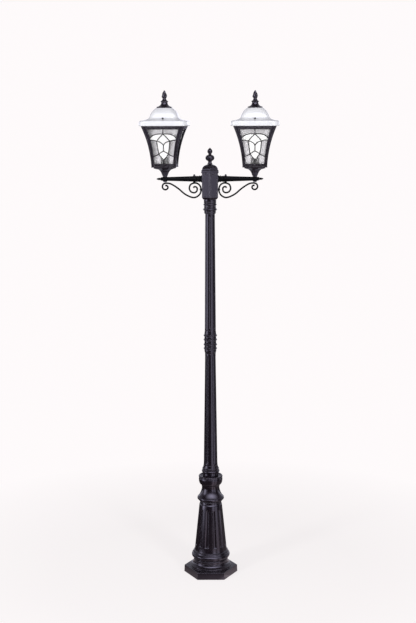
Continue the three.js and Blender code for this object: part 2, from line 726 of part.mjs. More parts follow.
function roofFinial() {
  const seat = ROOF_DOME_TOP + GAP;
  const outline = outlineFrom(0, seat - 12);
  outline.lineTo(3.4, seat - 12)
    .lineTo(3.4, seat)
    .lineTo(36, seat)
    .lineTo(36.5, seat + 4)
    .quadraticCurveTo(20, seat + 9, 15.5, seat + 25)
    .lineTo(18.5, seat + 28)
    .lineTo(18.5, seat + 31)
    .lineTo(12, seat + 35)
    .quadraticCurveTo(8.5, seat + 40, 9, seat + 46)
    .quadraticCurveTo(14.5, seat + 53, 12.5, seat + 60)
    .quadraticCurveTo(9, seat + 75, 0, 416.7);
  return squareOff(turned(outline, 12), (z) => (z > seat - 1 ? Math.max(2, 6 - (z - seat) / 5) : 2));
}

// A round-headed screw that enters the roof from the front.
function roofScrew() {
  const face = 82;
  const outline = outlineFrom(0, face - 18);
  outline.lineTo(1.8, face - 18)
    .lineTo(1.8, face)
    .lineTo(4.2, face)
    .absellipse(0, face, 4.2, 2.4, 0, Math.PI / 2, false);
  return turned(outline, 8).rotateX(Math.PI / 2).translate(0, 0, ROOF_SCREW_HEIGHT);
}

// ---------------------------------------------------------------- assembly

function addPart(group, name, geometry, finish) {
  const mesh = new THREE.Mesh(geometry, new THREE.MeshStandardMaterial(FINISHES[finish]));
  mesh.name = name;
  group.add(mesh);
}

function buildPost() {
  const post = new THREE.Group();
  addPart(post, 'base_plinth', basePlinth(), 'blackPaint');
  addPart(post, 'base_column', baseColumn(), 'blackPaint');
  addPart(post, 'base_bell', baseBell(), 'blackPaint');
  addPart(post, 'neck_ring', neckRing(), 'blackPaint');
  addPart(post, 'lower_pole', pole({
    bottom: LOWER_POLE_BOTTOM, top: MIDDLE_COLLAR_BOTTOM, bottomRadius: 35.2, topRadius: 26.6,
    firstAngle: Math.PI / POLE_FLUTES,
  }), 'blackPaint');
  addPart(post, 'middle_collar', middleCollar(), 'blackPaint');
  addPart(post, 'upper_pole', pole({
    bottom: UPPER_POLE_BOTTOM, top: TOP_COLLAR_BOTTOM, bottomRadius: 27.6, topRadius: 23.6, firstAngle: 0,
  }), 'blackPaint');
  addPart(post, 'top_collar', topCollar(), 'blackPaint');
  addPart(post, 'hub_box', hubBox(), 'blackPaint');
  addPart(post, 'hub_lid', hubLid(), 'blackPaint');
  addPart(post, 'hub_finial', hubFinial(), 'blackPaint');
  addPart(post, 'tie_rod', rod(ROD_RADIUS, ROD_BOTTOM, ROD_TOP), 'zinc');
  addPart(post, 'tie_nut',
    hexNut(NUT_CORNER_RADIUS, ROD_RADIUS + CLEARANCE, HUB_BOTTOM + HUB_FLOOR, HUB_BOTTOM + HUB_FLOOR + NUT_HEIGHT),
    'zinc');
  addPart(post, 'supply_cable', rod(CABLE_RADIUS, 1, ARM_HEIGHT - 12 - GAP).translate(0, CABLE_OFFSET, 0),
    'blackPlastic');
  addPart(post, 'terminal_block', terminalBlock(), 'blackPlastic');
  return post;
}

function buildArm(side) {
  const group = new THREE.Group();
  group.rotation.z = side === 'left' ? Math.PI : 0;
  addPart(group, `arm_${side}`, arm(), 'blackPaint');
  addPart(group, `scroll_${side}`, scroll(), 'blackPaint');
  addPart(group, `scroll_clip_${side}`, scrollClip(), 'blackPaint');
  addPart(group, `arm_knob_${side}`, armKnob(), 'blackPaint');
  addPart(group, `hub_screw_${side}`, hubScrew(), 'blackPaint');
  addPart(group, `arm_wire_${side}`, armWire(side === 'left' ? -1 : 1), 'blackPlastic');
  return group;
}

function buildLantern(side, reach, turn) {
  const group = new THREE.Group();
  group.position.set(reach, 0, LANTERN_SEAT);
  group.rotation.z = THREE.MathUtils.degToRad(turn);
  addPart(group, `lantern_base_${side}`, lanternBase(), 'blackPaint');
  addPart(group, `swivel_nut_${side}`, hexNut(10, SPIGOT_RADIUS + CLEARANCE, -25.7, -21 - GAP), 'blackPaint');
  addPart(group, `lantern_frame_${side}`, lanternFrame(), 'blackPaint');
  ['front', 'inner', 'back', 'outer'].forEach((place, quarter) => {
    const direction = side === 'left' ? 1 : -1;
    const pane = glassPane().rotateZ((direction * quarter * Math.PI) / 2);
    addPart(group, `glass_${place}_${side}`, pane, 'glass');
  });
  addPart(group, `came_cage_${side}`, cameCage(), 'blackPaint');
  addPart(group, `lampholder_${side}`, lampholder(), 'blackPlastic');
  addPart(group, `bulb_${side}`, bulb(), 'opal');
  addPart(group, `roof_${side}`, roof(), 'whitePaint');
  addPart(group, `roof_finial_${side}`, roofFinial(), 'blackPaint');
  addPart(group, `roof_screw_front_${side}`, roofScrew(), 'blackPaint');
  addPart(group, `roof_screw_back_${side}`, roofScrew().rotateZ(Math.PI), 'blackPaint');
  return group;
}

const lampPost = new THREE.Group();
lampPost.add(
  buildPost(),
  buildArm('left'),
  buildArm('right'),
  buildLantern('left', -STEM_REACH, LEFT_LANTERN_TURN),
  buildLantern('right', STEM_REACH, RIGHT_LANTERN_TURN),
);

export default lampPost;
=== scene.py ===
import json
import math

import bmesh
import bpy
from mathutils import Matrix, Vector
from mathutils.geometry import delaunay_2d_cdt


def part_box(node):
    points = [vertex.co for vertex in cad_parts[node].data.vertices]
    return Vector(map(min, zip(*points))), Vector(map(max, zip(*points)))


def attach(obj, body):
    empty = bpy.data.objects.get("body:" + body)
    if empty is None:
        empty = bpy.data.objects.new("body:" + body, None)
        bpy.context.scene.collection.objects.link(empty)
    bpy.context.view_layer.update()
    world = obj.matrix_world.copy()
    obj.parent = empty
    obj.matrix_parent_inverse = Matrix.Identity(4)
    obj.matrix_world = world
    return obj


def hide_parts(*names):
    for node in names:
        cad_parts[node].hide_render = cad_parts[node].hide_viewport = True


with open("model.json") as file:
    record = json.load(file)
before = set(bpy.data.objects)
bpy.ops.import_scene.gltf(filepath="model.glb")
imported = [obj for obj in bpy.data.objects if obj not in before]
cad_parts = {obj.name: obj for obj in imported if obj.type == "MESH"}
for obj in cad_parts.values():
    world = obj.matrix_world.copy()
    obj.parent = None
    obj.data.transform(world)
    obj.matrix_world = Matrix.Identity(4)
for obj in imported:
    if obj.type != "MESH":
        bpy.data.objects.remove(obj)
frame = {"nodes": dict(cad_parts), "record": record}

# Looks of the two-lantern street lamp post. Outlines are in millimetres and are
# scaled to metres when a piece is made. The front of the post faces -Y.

MM = 0.001
SHARP_ANGLE = math.radians(27)

record = frame["record"]
body_of_node = {n: body for body, nodes in record["behaviour"]["bodies"].items() for n in nodes}
joint_named = {joint["name"]: joint for joint in record["behaviour"]["joints"]}


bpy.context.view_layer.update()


# -------------------------------------------------------------------- outlines

class Outline:
    """A half-section, as (radius, height) points drawn one after another."""

    def __init__(self, radius, height):
        self.points = [Vector((radius, height))]

    def line(self, *points):
        self.points += [Vector(point) for point in points]
        return self

    def curve(self, via, end, steps=8):
        """A bend towards one guiding point."""
        start, via, end = self.points[-1].copy(), Vector(via), Vector(end)
        for i in range(1, steps + 1):
            t = i / steps
            self.points.append(start * (1 - t) ** 2 + via * 2 * t * (1 - t) + end * t * t)
        return self

    def arc(self, centre, size, start, end, steps=10):
        """Part of an ellipse. Angles are in degrees: 0 is outwards, 90 is up."""
        for i in range(steps + 1):
            angle = math.radians(start + (end - start) * i / steps)
            self.line((centre[0] + size[0] * math.cos(angle), centre[1] + size[1] * math.sin(angle)))
        return self

    def bead(self, radius, height, half):
        """A half-round ring standing out to a radius."""
        foot = radius - half
        self.line((foot, height - half)).arc((foot, height), (half, half), -80, 80, 8)
        return self.line((foot, height + half))


def soften(points, size, closed):
    """Rounds the sharp corners of an outline."""
    softened = []
    for i, here in enumerate(points):
        if not closed and i in (0, len(points) - 1):
            softened.append(here)
            continue
        before, after = points[i - 1] - here, points[(i + 1) % len(points)] - here
        if before.length < 1e-6:
            continue
        if after.length < 1e-6 or math.pi - before.angle(after) < math.radians(22):
            softened.append(here)
            continue
        first = here + before.normalized() * min(size, before.length * 0.4)
        last = here + after.normalized() * min(size, after.length * 0.4)
        softened += [first, (first + last + 2 * here) / 4, last]
    return softened


# ---------------------------------------------------------------------- meshes

def around(radius, height, angle):
    """A point at an angle that grows from the front towards +X."""
    return Vector((radius * math.sin(angle), -radius * math.cos(angle), height))


def rings_of(outline, sides=64, soft=0.6, shape=None, closed=False):
    """One ring of points for each point of an outline. shape(radius, height,
    angle) may change the radius."""
    rings = []
    for radius, height in soften(outline.points, soft, closed):
        if radius < 1e-6:
            rings.append([Vector((0, 0, height))])
            continue
        ring = []
        for i in range(sides):
            angle = 2 * math.pi * i / sides
            ring.append(around(shape(radius, height, angle) if shape else radius, height, angle))
        rings.append(ring)
    return rings


def skin(rings, closed=False, capped=False):
    """A surface over rings of points. A ring of one point is a tip."""
    mesh = bmesh.new()
    loops = [[mesh.verts.new(point) for point in ring] for ring in rings]
    for lower, upper in zip(loops, loops[1:] + (loops[:1] if closed else [])):
        count = max(len(lower), len(upper))
        for i in range(count):
            j = (i + 1) % count
            corners = [lower[i % len(lower)], lower[j % len(lower)]]
            corners += [upper[j % len(upper)], upper[i % len(upper)]]
            corners = list(dict.fromkeys(corners))
            if len(corners) > 2:
                mesh.faces.new(corners)
    if capped:
        mesh.faces.new(list(reversed(loops[0])))
        mesh.faces.new(loops[-1])
    return mesh


def turned(outline, sides=64, soft=0.6, shape=None, closed=False):
    """A piece turned about the upright axis."""
    return skin(rings_of(outline, sides, soft, shape, closed), closed)


def placed(mesh, matrix):
    bmesh.ops.transform(mesh, matrix=matrix, verts=mesh.verts)
    return mesh


def merged(meshes):
    """Several meshes in one."""
    whole = bmesh.new()
    for mesh in meshes:
        data = bpy.data.meshes.new("part")
        mesh.to_mesh(data)
        mesh.free()
        whole.from_mesh(data)
        bpy.data.meshes.remove(data)
    return whole


def quarters(make):
    """Four copies of a mesh, a quarter turn apart."""
    return merged([placed(make(), Matrix.Rotation(math.pi / 2 * k, 4, "Z")) for k in range(4)])


def combined(mesh, cutters, operation="DIFFERENCE"):
    """Cuts meshes out of a mesh, or joins them to it, as true solids."""
    whole = as_object("whole", mesh)
    tools = []
    for cutter in cutters:
        tool = as_object("tool", cutter)
        modifier = whole.modifiers.new("boolean", "BOOLEAN")
        modifier.operation = operation
        modifier.solver = "EXACT"
        modifier.object = tool
        tools.append(tool)
    evaluated = whole.evaluated_get(bpy.context.evaluated_depsgraph_get())
    result = bmesh.new()
    result.from_mesh(evaluated.to_mesh())
    placed(result, Matrix.Scale(1 / MM, 4))
    for thing in [whole, *tools]:
        bpy.data.objects.remove(thing)
    return result


def as_object(name, mesh):
    bmesh.ops.recalc_face_normals(mesh, faces=mesh.faces)
    placed(mesh, Matrix.Scale(MM, 4))
    data = bpy.data.meshes.new(name)
    mesh.to_mesh(data)
    mesh.free()
    thing = bpy.data.objects.new(name, data)
    bpy.context.scene.collection.objects.link(thing)
    return thing


def add_piece(name, mesh, node, *materials, bevel=0.0):
    """Makes a piece that stands for a CAD node and rides on its body."""
    for face in mesh.faces:
        face.smooth = True
    piece = as_object(name, mesh)
    for material in materials:
        piece.data.materials.append(material)
    piece.data.set_sharp_from_angle(angle=SHARP_ANGLE)
    if bevel:
        modifier = piece.modifiers.new("edges", "BEVEL")
        modifier.width = bevel * MM
        modifier.segments = 2
        modifier.limit_method = "ANGLE"
        modifier.angle_limit = SHARP_ANGLE
        modifier.harden_normals = True
    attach(piece, body_of_node[node])
    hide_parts(node)
    return piece


# ---------------------------------------------------------------- shape rules

def hexagonal(corner_angle):
    """Turns a radius into the reach of a hexagon whose flats are that far out."""
    def shape(flat, height, angle):
        within = (angle - corner_angle) % math.radians(60) - math.radians(30)
        return flat / math.cos(within)
    return shape


def square_at(sharpness):
    """Rounded squares. sharpness(height) is 2 for a circle, and more is squarer."""
    def shape(radius, height, angle):
        n = sharpness(height)
        total = abs(math.cos(angle)) ** n + abs(math.sin(angle)) ** n
        return radius * total ** (-1 / n)
    return shape


def ribbed(count, depth, bottom, top):
    """Shallow upright ribs between two heights, fading out at both."""
    def shape(radius, height, angle):
        fade = max(0.0, min(1.0, (height - bottom) / 2, (top - height) / 2))
        return radius - depth * fade * (0.5 - 0.5 * math.cos(count * angle))
    return shape


def fluted_rings(radius_at, bottom, top, count, depth, first_angle, steps, rib_steps):
    """Rings of a tapered shaft with round-ended grooves between two heights."""
    sides = count * steps
    half = math.pi / count * (1 - rib_steps / steps)
    end_reach = half * (radius_at(bottom) + radius_at(top)) / 2
    rib_reach = 4
    rows = [(-1, s / 5) for s in (5, 4, 3, 2, 1, 0)] + [(0, s / 6) for s in range(1, 6)]
    rows += [(1, s / 5) for s in (0, 1, 2, 3, 4, 5)]
    rings = []
    for end, share in rows:
        ring = []
        for i in range(sides):
            angle = 2 * math.pi * i / sides
            off = (angle - first_angle + math.pi / count) % (2 * math.pi / count) - math.pi / count
            across = max(-1.0, min(1.0, off / half))
            open_share = 1 - across ** 2
            if end == 0:
                height = bottom + end_reach + (top - bottom - 2 * end_reach) * share
                groove = depth * open_share ** 0.7
            else:
                reach = rib_reach + (end_reach - rib_reach) * math.sqrt(open_share)
                centre = bottom + end_reach if end < 0 else top - end_reach
                height = centre + end * share * reach
                groove = depth * (open_share * (1 - share ** 2)) ** 0.7
            ring.append(around(radius_at(height) - groove, height, angle))
        rings.append(ring)
    return rings


# ------------------------------------------------------------------- materials

class NodeSet:
    """A node tree and short ways to add nodes to it."""

    def __init__(self, tree, coordinate):
        self.tree = tree
        self.tree.nodes.clear()
        self.place = self.add("ShaderNodeTexCoord").outputs[coordinate]

    def add(self, kind, settings=None, **inputs):
        node = self.tree.nodes.new(kind)
        for key, value in (settings or {}).items():
            setattr(node, key, value)
        for key, value in inputs.items():
            socket = node.inputs[key.replace("_", " ")]
            if isinstance(value, bpy.types.NodeSocket):
                self.tree.links.new(value, socket)
            else:
                socket.default_value = value
        return node

    def noise(self, scale, detail=4.0, roughness=0.55, place=None):
        node = self.add("ShaderNodeTexNoise", Vector=place or self.place, Scale=scale, Detail=detail,
                        Roughness=roughness)
        return node.outputs["Fac"]

    def stretched(self, x, y, z):
        """The place, scaled along each axis."""
        return self.add("ShaderNodeMapping", Vector=self.place, Scale=(x, y, z)).outputs["Vector"]

    def remap(self, value, low, high, to_low=0.0, to_high=1.0):
        node = self.add("ShaderNodeMapRange", Value=value, From_Min=low, From_Max=high, To_Min=to_low,
                        To_Max=to_high)
        return node.outputs["Result"]

    def blend(self, share, first, second):
        return self.add("ShaderNodeMixRGB", Fac=share, Color1=first, Color2=second).outputs["Color"]

    def product(self, first, *others):
        for other in others:
            first = self.maths("MULTIPLY", first, other)
        return first

    def maths(self, operation, first, second=0.0):
        node = self.add("ShaderNodeMath", {"operation": operation})
        for socket, value in zip(node.inputs, (first, second)):
            if isinstance(value, bpy.types.NodeSocket):
                self.tree.links.new(value, socket)
            else:
                socket.default_value = value
        return node.outputs[0]

    def pick(self, share, first, second):
        """Goes from the first number to the second one."""
        difference = self.maths("SUBTRACT", second, first)
        return self.maths("ADD", self.product(share, difference), first)

    def mix(self, share, first, second):
        """A mix of two surfaces."""
        node = self.add("ShaderNodeMixShader", Fac=share)
        self.tree.links.new(first, node.inputs[1])
        self.tree.links.new(second, node.inputs[2])
        return node.outputs[0]

    def seen_by(self, kind):
        """1 for what a "Diffuse" or "Glossy" bounce sees, and 0 for what is seen
        directly or through glass."""
        path = self.add("ShaderNodeLightPath").outputs
        bounced = self.maths("SUBTRACT", path[f"Is {kind} Ray"], path["Is Transmission Ray"])
        return self.maths("MAXIMUM", bounced, 0.0)

    def edges(self, radius):
        """1 on sharp outer and inner edges, and 0 on flat faces."""
        rounded = self.add("ShaderNodeBevel", {"samples": 3}, Radius=radius).outputs["Normal"]
        flat = self.add("ShaderNodeNewGeometry").outputs["Normal"]
        node = self.add("ShaderNodeVectorMath", {"operation": "DOT_PRODUCT"})
        self.tree.links.new(rounded, node.inputs[0])
        self.tree.links.new(flat, node.inputs[1])
        return self.remap(node.outputs["Value"], 0.995, 0.8)

    def facing_up(self):
        normal = self.add("ShaderNodeNewGeometry").outputs["Normal"]
        return self.add("ShaderNodeSeparateXYZ", Vector=normal).outputs["Z"]

    def bump(self, height, strength, distance, normal=None):
        inputs = {"Height": height, "Strength": strength, "Distance": distance}
        if normal:
            inputs["Normal"] = normal
        return self.add("ShaderNodeBump", **inputs).outputs["Normal"]


class Finish(NodeSet):
    """A new material."""

    def __init__(self, name):
        self.material = bpy.data.materials.new(name)
        self.material.use_nodes = True
        super().__init__(self.material.node_tree, "Object")

    def finish(self, **inputs):
        surface = self.add("ShaderNodeBsdfPrincipled", **inputs).outputs["BSDF"]
        self.add("ShaderNodeOutputMaterial", Surface=surface)
        return self.material


def powder_coat():
    """Satin black on cast aluminium: cast grain, dust on faces that point up, and pale edges that are partly
    edge wear and partly a painted highlight.
    """
    f = Finish("black_powder_coat")
    mottle = f.noise(14, 5, 0.6)
    grain = f.noise(1500, 2, 0.5)
    casting = f.noise(170, 3, 0.6)
    # Pale edges (colour 0.19, 0.18, 0.21): partly edge wear and partly a painted highlight that stands in for
    # shine on rounded edges and corner beads.
    edge = f.product(f.edges(0.0024), f.remap(f.noise(90, 4), 0.25, 0.6))
    dust = f.product(f.remap(f.facing_up(), 0.5, 1.0), f.remap(f.noise(45, 5), 0.4, 0.75, 0.0, 0.5))
    colour = f.blend(f.remap(mottle, 0.3, 0.7), (0.0030, 0.0018, 0.0030, 1), (0.0065, 0.0042, 0.0066, 1))
    colour = f.blend(f.product(edge, 0.6), colour, (0.19, 0.18, 0.21, 1))
    colour = f.blend(f.product(dust, 0.3), colour, (0.06, 0.056, 0.055, 1))
    rough = f.maths("ADD", f.remap(mottle, 0.25, 0.75, 0.16, 0.24), f.product(dust, 0.25))
    normal = f.bump(casting, 0.22, 0.0005)
    normal = f.bump(grain, 0.25, 0.0001, normal)
    return f.finish(Base_Color=colour, Roughness=rough, Specular_Tint=(0.9, 0.85, 1.0, 1), Normal=normal)


def black_steel_paint():
    """Semi-gloss brushed-on black over bent steel bar."""
    f = Finish("black_steel_paint")
    streaks = f.noise(60, 4, 0.6, f.stretched(1, 1, 4))
    edge = f.product(f.edges(0.001), f.remap(f.noise(150, 3), 0.4, 0.7))
    colour = f.blend(f.remap(streaks, 0.3, 0.7), (0.0015, 0.0015, 0.002, 1), (0.004, 0.004, 0.005, 1))
    colour = f.blend(f.product(edge, 0.3), colour, (0.06, 0.058, 0.06, 1))
    normal = f.bump(f.noise(420, 3), 0.3, 0.0003)
    rough = f.remap(streaks, 0.3, 0.7, 0.26, 0.42)
    return f.finish(Base_Color=colour, Roughness=rough, Specular_IOR_Level=0.06, Normal=normal)


def white_enamel():
    """Gloss white with a slight orange peel, and faint grime in upright streaks."""
    f = Finish("white_enamel")
    tint = f.noise(9, 4)
    grime = f.product(f.remap(f.noise(35, 6, 0.65, f.stretched(1, 1, 0.25)), 0.5, 0.8), 0.22)
    edge = f.product(f.edges(0.002), f.remap(f.noise(120, 3), 0.5, 0.72))
    colour = f.blend(f.remap(tint, 0.3, 0.7), (0.68, 0.69, 0.74, 1), (0.76, 0.77, 0.80, 1))
    colour = f.blend(grime, colour, (0.62, 0.61, 0.59, 1))
    colour = f.blend(f.product(edge, 0.35), colour, (0.55, 0.55, 0.55, 1))
    normal = f.bump(f.noise(260, 2), 0.12, 0.0004)
    return f.finish(Base_Color=colour, Roughness=f.remap(tint, 0.3, 0.7, 0.16, 0.3), Coat_Weight=0.5,
                    Coat_Roughness=0.08, Normal=normal)


def pane_glass(name, tint, speckle, roughness, dimple, depth, milkiness, bending):
    """Rolled glass. The dimple size and depth make it frosted or hammered."""
    f = Finish(name)
    cells = f.add("ShaderNodeTexVoronoi", {"feature": "SMOOTH_F1"}, Vector=f.place, Scale=1 / dimple)
    waves = f.noise(22, 3)
    normal = f.bump(cells.outputs["Distance"], 0.8, depth)
    normal = f.bump(waves, 0.3, 0.001, normal)
    shade = f.blend(f.remap(f.noise(150, 2), 0.4, 0.6), tint, tuple(speckle * c for c in tint[:3]) + (1,))
    clear = f.add("ShaderNodeBsdfPrincipled", Base_Color=shade, Roughness=roughness, IOR=bending,
                  Transmission_Weight=1.0, Normal=normal).outputs["BSDF"]
    milky = f.add("ShaderNodeBsdfDiffuse", Color=(0.97, 0.97, 0.97, 1), Normal=normal).outputs["BSDF"]
    f.add("ShaderNodeOutputMaterial", Surface=f.mix(milkiness, clear, milky))
    return f.material


def opal_glass():
    f = Finish("opal_glass")
    cloud = f.noise(40, 3)
    colour = f.blend(f.remap(cloud, 0.3, 0.7), (0.90, 0.89, 0.85, 1), (0.95, 0.945, 0.92, 1))
    normal = f.bump(f.noise(300, 2), 0.05, 0.0002)
    return f.finish(Base_Color=colour, Roughness=f.remap(cloud, 0.3, 0.7, 0.2, 0.3), Coat_Weight=0.3,
                    Normal=normal)


def zinc():
    """Zinc plate: pale spangle and faint yellow stains."""
    f = Finish("zinc_plate")
    spangle = f.add("ShaderNodeTexVoronoi", Vector=f.place, Scale=240.0).outputs["Distance"]
    stain = f.noise(30, 5)
    colour = f.blend(f.remap(spangle, 0.0, 0.8), (0.42, 0.43, 0.45, 1), (0.66, 0.67, 0.68, 1))
    colour = f.blend(f.remap(stain, 0.5, 0.8, 0.0, 0.4), colour, (0.42, 0.37, 0.24, 1))
    colour = f.blend(f.edges(0.0008), colour, (0.75, 0.75, 0.76, 1))
    normal = f.bump(f.noise(500, 3), 0.3, 0.0002)
    rough = f.remap(stain, 0.3, 0.7, 0.3, 0.5)
    return f.finish(Base_Color=colour, Metallic=1.0, Roughness=rough, Normal=normal)


def moulded_plastic():
    f = Finish("moulded_plastic")
    speckle = f.noise(220, 3)
    colour = f.blend(f.remap(speckle, 0.35, 0.65), (0.014, 0.014, 0.016, 1), (0.03, 0.03, 0.033, 1))
    colour = f.blend(f.product(f.edges(0.001), 0.4), colour, (0.08, 0.08, 0.085, 1))
    normal = f.bump(f.noise(900, 3), 0.4, 0.0002)
    return f.finish(Base_Color=colour, Roughness=f.remap(speckle, 0.3, 0.7, 0.42, 0.6), Normal=normal)


def cable_rubber():
    f = Finish("cable_rubber")
    scuff = f.noise(80, 5, 0.7)
    colour = f.blend(f.remap(scuff, 0.35, 0.7), (0.016, 0.016, 0.017, 1), (0.045, 0.044, 0.043, 1))
    normal = f.bump(f.noise(700, 3), 0.5, 0.0003)
    return f.finish(Base_Color=colour, Roughness=f.remap(scuff, 0.3, 0.7, 0.55, 0.75), Normal=normal)


BLACK = powder_coat()
BAR_BLACK = black_steel_paint()
WHITE = white_enamel()
FROSTED = pane_glass("frosted_pane", (1.0, 1.0, 1.0, 1), 0.98, 0.3, 0.02, 0.0003, 0.75, 1.3)
HAMMERED = pane_glass("hammered_pane", (0.98, 0.98, 1.0, 1), 0.84, 0.32, 0.006, 0.0014, 0.06, 1.3)
OPAL = opal_glass()
ZINC = zinc()
PLASTIC = moulded_plastic()
RUBBER = cable_rubber()


# ------------------------------------------------------------- base and poles

def foot_of(node):
    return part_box(node)[0].z / MM


def top_of(node):
    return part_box(node)[1].z / MM


def length_of(node):
    return top_of(node) - foot_of(node)


def middle_of(node, axis):
    """The middle of a node's box along one axis."""
    low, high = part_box(node)
    return (getattr(low, axis) + getattr(high, axis)) / 2 / MM


def moved(mesh, x, y, z):
    return placed(mesh, Matrix.Translation((x, y, z)))


def add_standing(name, mesh, node, *materials):
    """Adds a piece that was drawn from height 0, on its node's foot."""
    return add_piece(name, moved(mesh, 0, 0, foot_of(node)), node, *materials)


def tapering(bottom_radius, top_radius, bottom, top):
    """A radius that changes evenly from one height to another."""
    def radius_at(height):
        return bottom_radius + (top_radius - bottom_radius) * (height - bottom) / (top - bottom)
    return radius_at


def upright_rod(radius, bottom, top, sides=24):
    return turned(Outline(0, bottom).line((radius, bottom), (radius, top), (0, top)), sides, soft=0)


def make_plinth():
    node = "base_plinth"
    low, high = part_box(node)
    corner = high.x / MM
    edge_top, floor_top, boss_top, moulding_top = 36.5, 12, 42, (high.z - low.z) / MM
    sides = 96
    hexagon = hexagonal(math.radians(30))
    flat = corner * math.cos(math.radians(30))
    prism = Outline(0, 0).line((flat - 1, 0), (flat, 1.2), (flat - 1.2, edge_top - 2))
    prism.curve((flat - 1.4, edge_top), (flat - 3.4, edge_top), 4).line((flat - 6, edge_top))
    moulding = Outline(105, edge_top).line((103.2, edge_top + 0.8), (103.2, edge_top + 2))
    moulding.line((104, edge_top + 3), (104, edge_top + 8))
    moulding.curve((103.6, edge_top + 10.6), (101, edge_top + 11), 4)
    moulding.curve((90, edge_top + 14), (88, moulding_top - 1), 12).line((87.4, moulding_top))
    moulding.line((68, moulding_top), (68, floor_top), (17, floor_top), (17, boss_top))
    moulding.line((5.4, boss_top), (5.4, 13.6), (0, 13.6))
    rings = rings_of(prism, sides, 0, hexagon) + rings_of(moulding, sides, 0.6)
    anchor_radius, anchor_reach = 7, 50
    entry_radius, entry_reach = 10, 20
    cutters = [moved(upright_rod(anchor_radius, -1, floor_top + 1),
                     anchor_reach * math.cos(angle), anchor_reach * math.sin(angle), 0)
               for angle in map(math.radians, (45, 135, 225, 315))]
    cutters.append(moved(upright_rod(entry_radius, -1, boss_top + 1), 0, entry_reach, 0))
    add_piece("plinth", combined(skin(rings), cutters), node, BLACK)


def make_column():
    node = "base_column"
    length = length_of(node)
    sides, rib_steps = 192, 9
    shaft_foot, shaft_top = 57.5, length - 16
    radius_at = tapering(82, 57.8, shaft_foot, shaft_top)

    lower = Outline(87.4, 0).line((88, 0.8), (88, 8)).curve((87.8, 11.4), (85.2, 12.2), 4)
    lower.line((84, 13.4), (84, 17.2), (87, 18))
    lower.curve((97, 19), (97.5, 28.5), 8).curve((97.5, 37), (92, 41.5), 8)
    lower.curve((89.6, 43.5), (89, 47), 6).line((88.6, 49.5))
    lower.curve((88.2, 53), (84.6, 53.6), 4)
    lower.line((82.8, 54.6), (radius_at(shaft_foot), shaft_foot))
    upper = Outline(radius_at(shaft_top - 12), shaft_top - 12).line((radius_at(shaft_top), shaft_top))
    upper.line((56, shaft_top + 5), (54.4, shaft_top + 7), (54.4, length), (47, length))
    upper.line((70, shaft_foot), (74, 6), (74, 0))
    rings = rings_of(lower, sides, 0.8)
    rings += fluted_rings(radius_at, 80, length - 36, 12, 4.2, math.pi / 12, sides // 12, rib_steps)
    rings += rings_of(upper, sides, 0.8)
    add_standing("fluted_column", skin(rings, closed=True), node, BLACK)


def make_bell():
    node = "base_bell"
    outline = Outline(46, 0).line((54, 0)).bead(57.8, 3.6, 2.8).line((55.4, 7.6))
    outline.line((60.5, 9.6)).curve((69, 12.4), (67.8, 19.5), 6)
    outline.curve((67.3, 24), (65.1, 25.7), 4).line((63.6, 26.5))
    outline.curve((49, 44), (44.6, 70), 12).curve((44.2, 82), (49, 90), 6)
    outline.line((50.5, 91.5), (52.6, 92)).curve((60.6, 99), (60.4, 121), 8)
    outline.line((58.8, 125), (58.8, 126.6)).bead(61.2, 131.8, 3.6)
    outline.line((58.6, 137), (54, 137), (53.2, 134.5), (51.5, 133))
    outline.line((39.8, 132.6), (39.8, 106))
    outline.line((32, 106), (32, 98)).curve((39, 90), (38.5, 72))
    outline.curve((39, 40), (46, 0))
    add_standing("bell_cup", turned(outline, 72, 0.7, closed=True), node, BLACK)


def make_neck():
    node = "neck_ring"
    length = length_of(node)
    outline = Outline(24, 0).line((39, 0), (39, 3), (38.4, 4), (39.2, 42))
    outline.bead(45.4, 54, 7).line((38.2, 62.4)).bead(42.5, 68, 4)
    outline.curve((37.4, 76), (36.2, length - 1)).line((35.4, length), (24, length))
    add_standing("neck_beads", turned(outline, 72, 0.5, closed=True), node, BLACK)


def make_pole(name, node, bottom_radius, top_radius, first_angle):
    length = length_of(node)
    wall = 4
    sides, rib_steps = 108, 12
    radius_at = tapering(bottom_radius, top_radius, 0, length)
    lower = Outline(bottom_radius - wall - 1, 0).line((bottom_radius, 0), (radius_at(4), 4))
    upper = Outline(radius_at(length - 4), length - 4)
    upper.line((top_radius, length), (top_radius - wall, length))
    rings = rings_of(lower, sides, 0.4)
    rings += fluted_rings(radius_at, 10, length - 11, 6, 1.9, first_angle, sides // 6, rib_steps)
    rings += rings_of(upper, sides, 0.4)
    add_standing(name, skin(rings, closed=True), node, BLACK)


def make_middle_collar():
    node = "middle_collar"
    length = length_of(node)
    outline = Outline(19, 0).line((26.8, 0), (28, 9), (29.6, 11), (29.6, 18))
    for ring, half in ((27, 5), (46.5, 5.4), (71.5, 5.4), (92.5, 5)):
        outline.line((29.4, ring - half - 1.6)).bead(33.6, ring, half)
        outline.line((29.4, ring + half + 1.6))
    outline.line((29, 105)).curve((28.2, 108), (27.7, length - 1)).line((27.2, length), (19, length))
    add_standing("middle_rings", turned(outline, 72, 0.5, closed=True), node, BLACK)


def make_top_collar():
    node = "top_collar"
    length = length_of(node)
    outline = Outline(19, 0).line((26.5, 0), (27.6, 4)).bead(29.6, 8, 2).line((28.6, 12))
    outline.bead(34, 22, 5.4).line((28.8, 30)).bead(30.8, 34, 2).line((28.8, 38))
    outline.bead(32.9, 46, 4.6).line((29.4, 53)).bead(31.4, 57, 2)
    outline.line((29.6, 61), (30.6, 63), (30.6, length), (19, length))
    add_standing("top_rings", turned(outline, 72, 0.5, closed=True), node, BLACK)


# ------------------------------------------------------------------------ hub

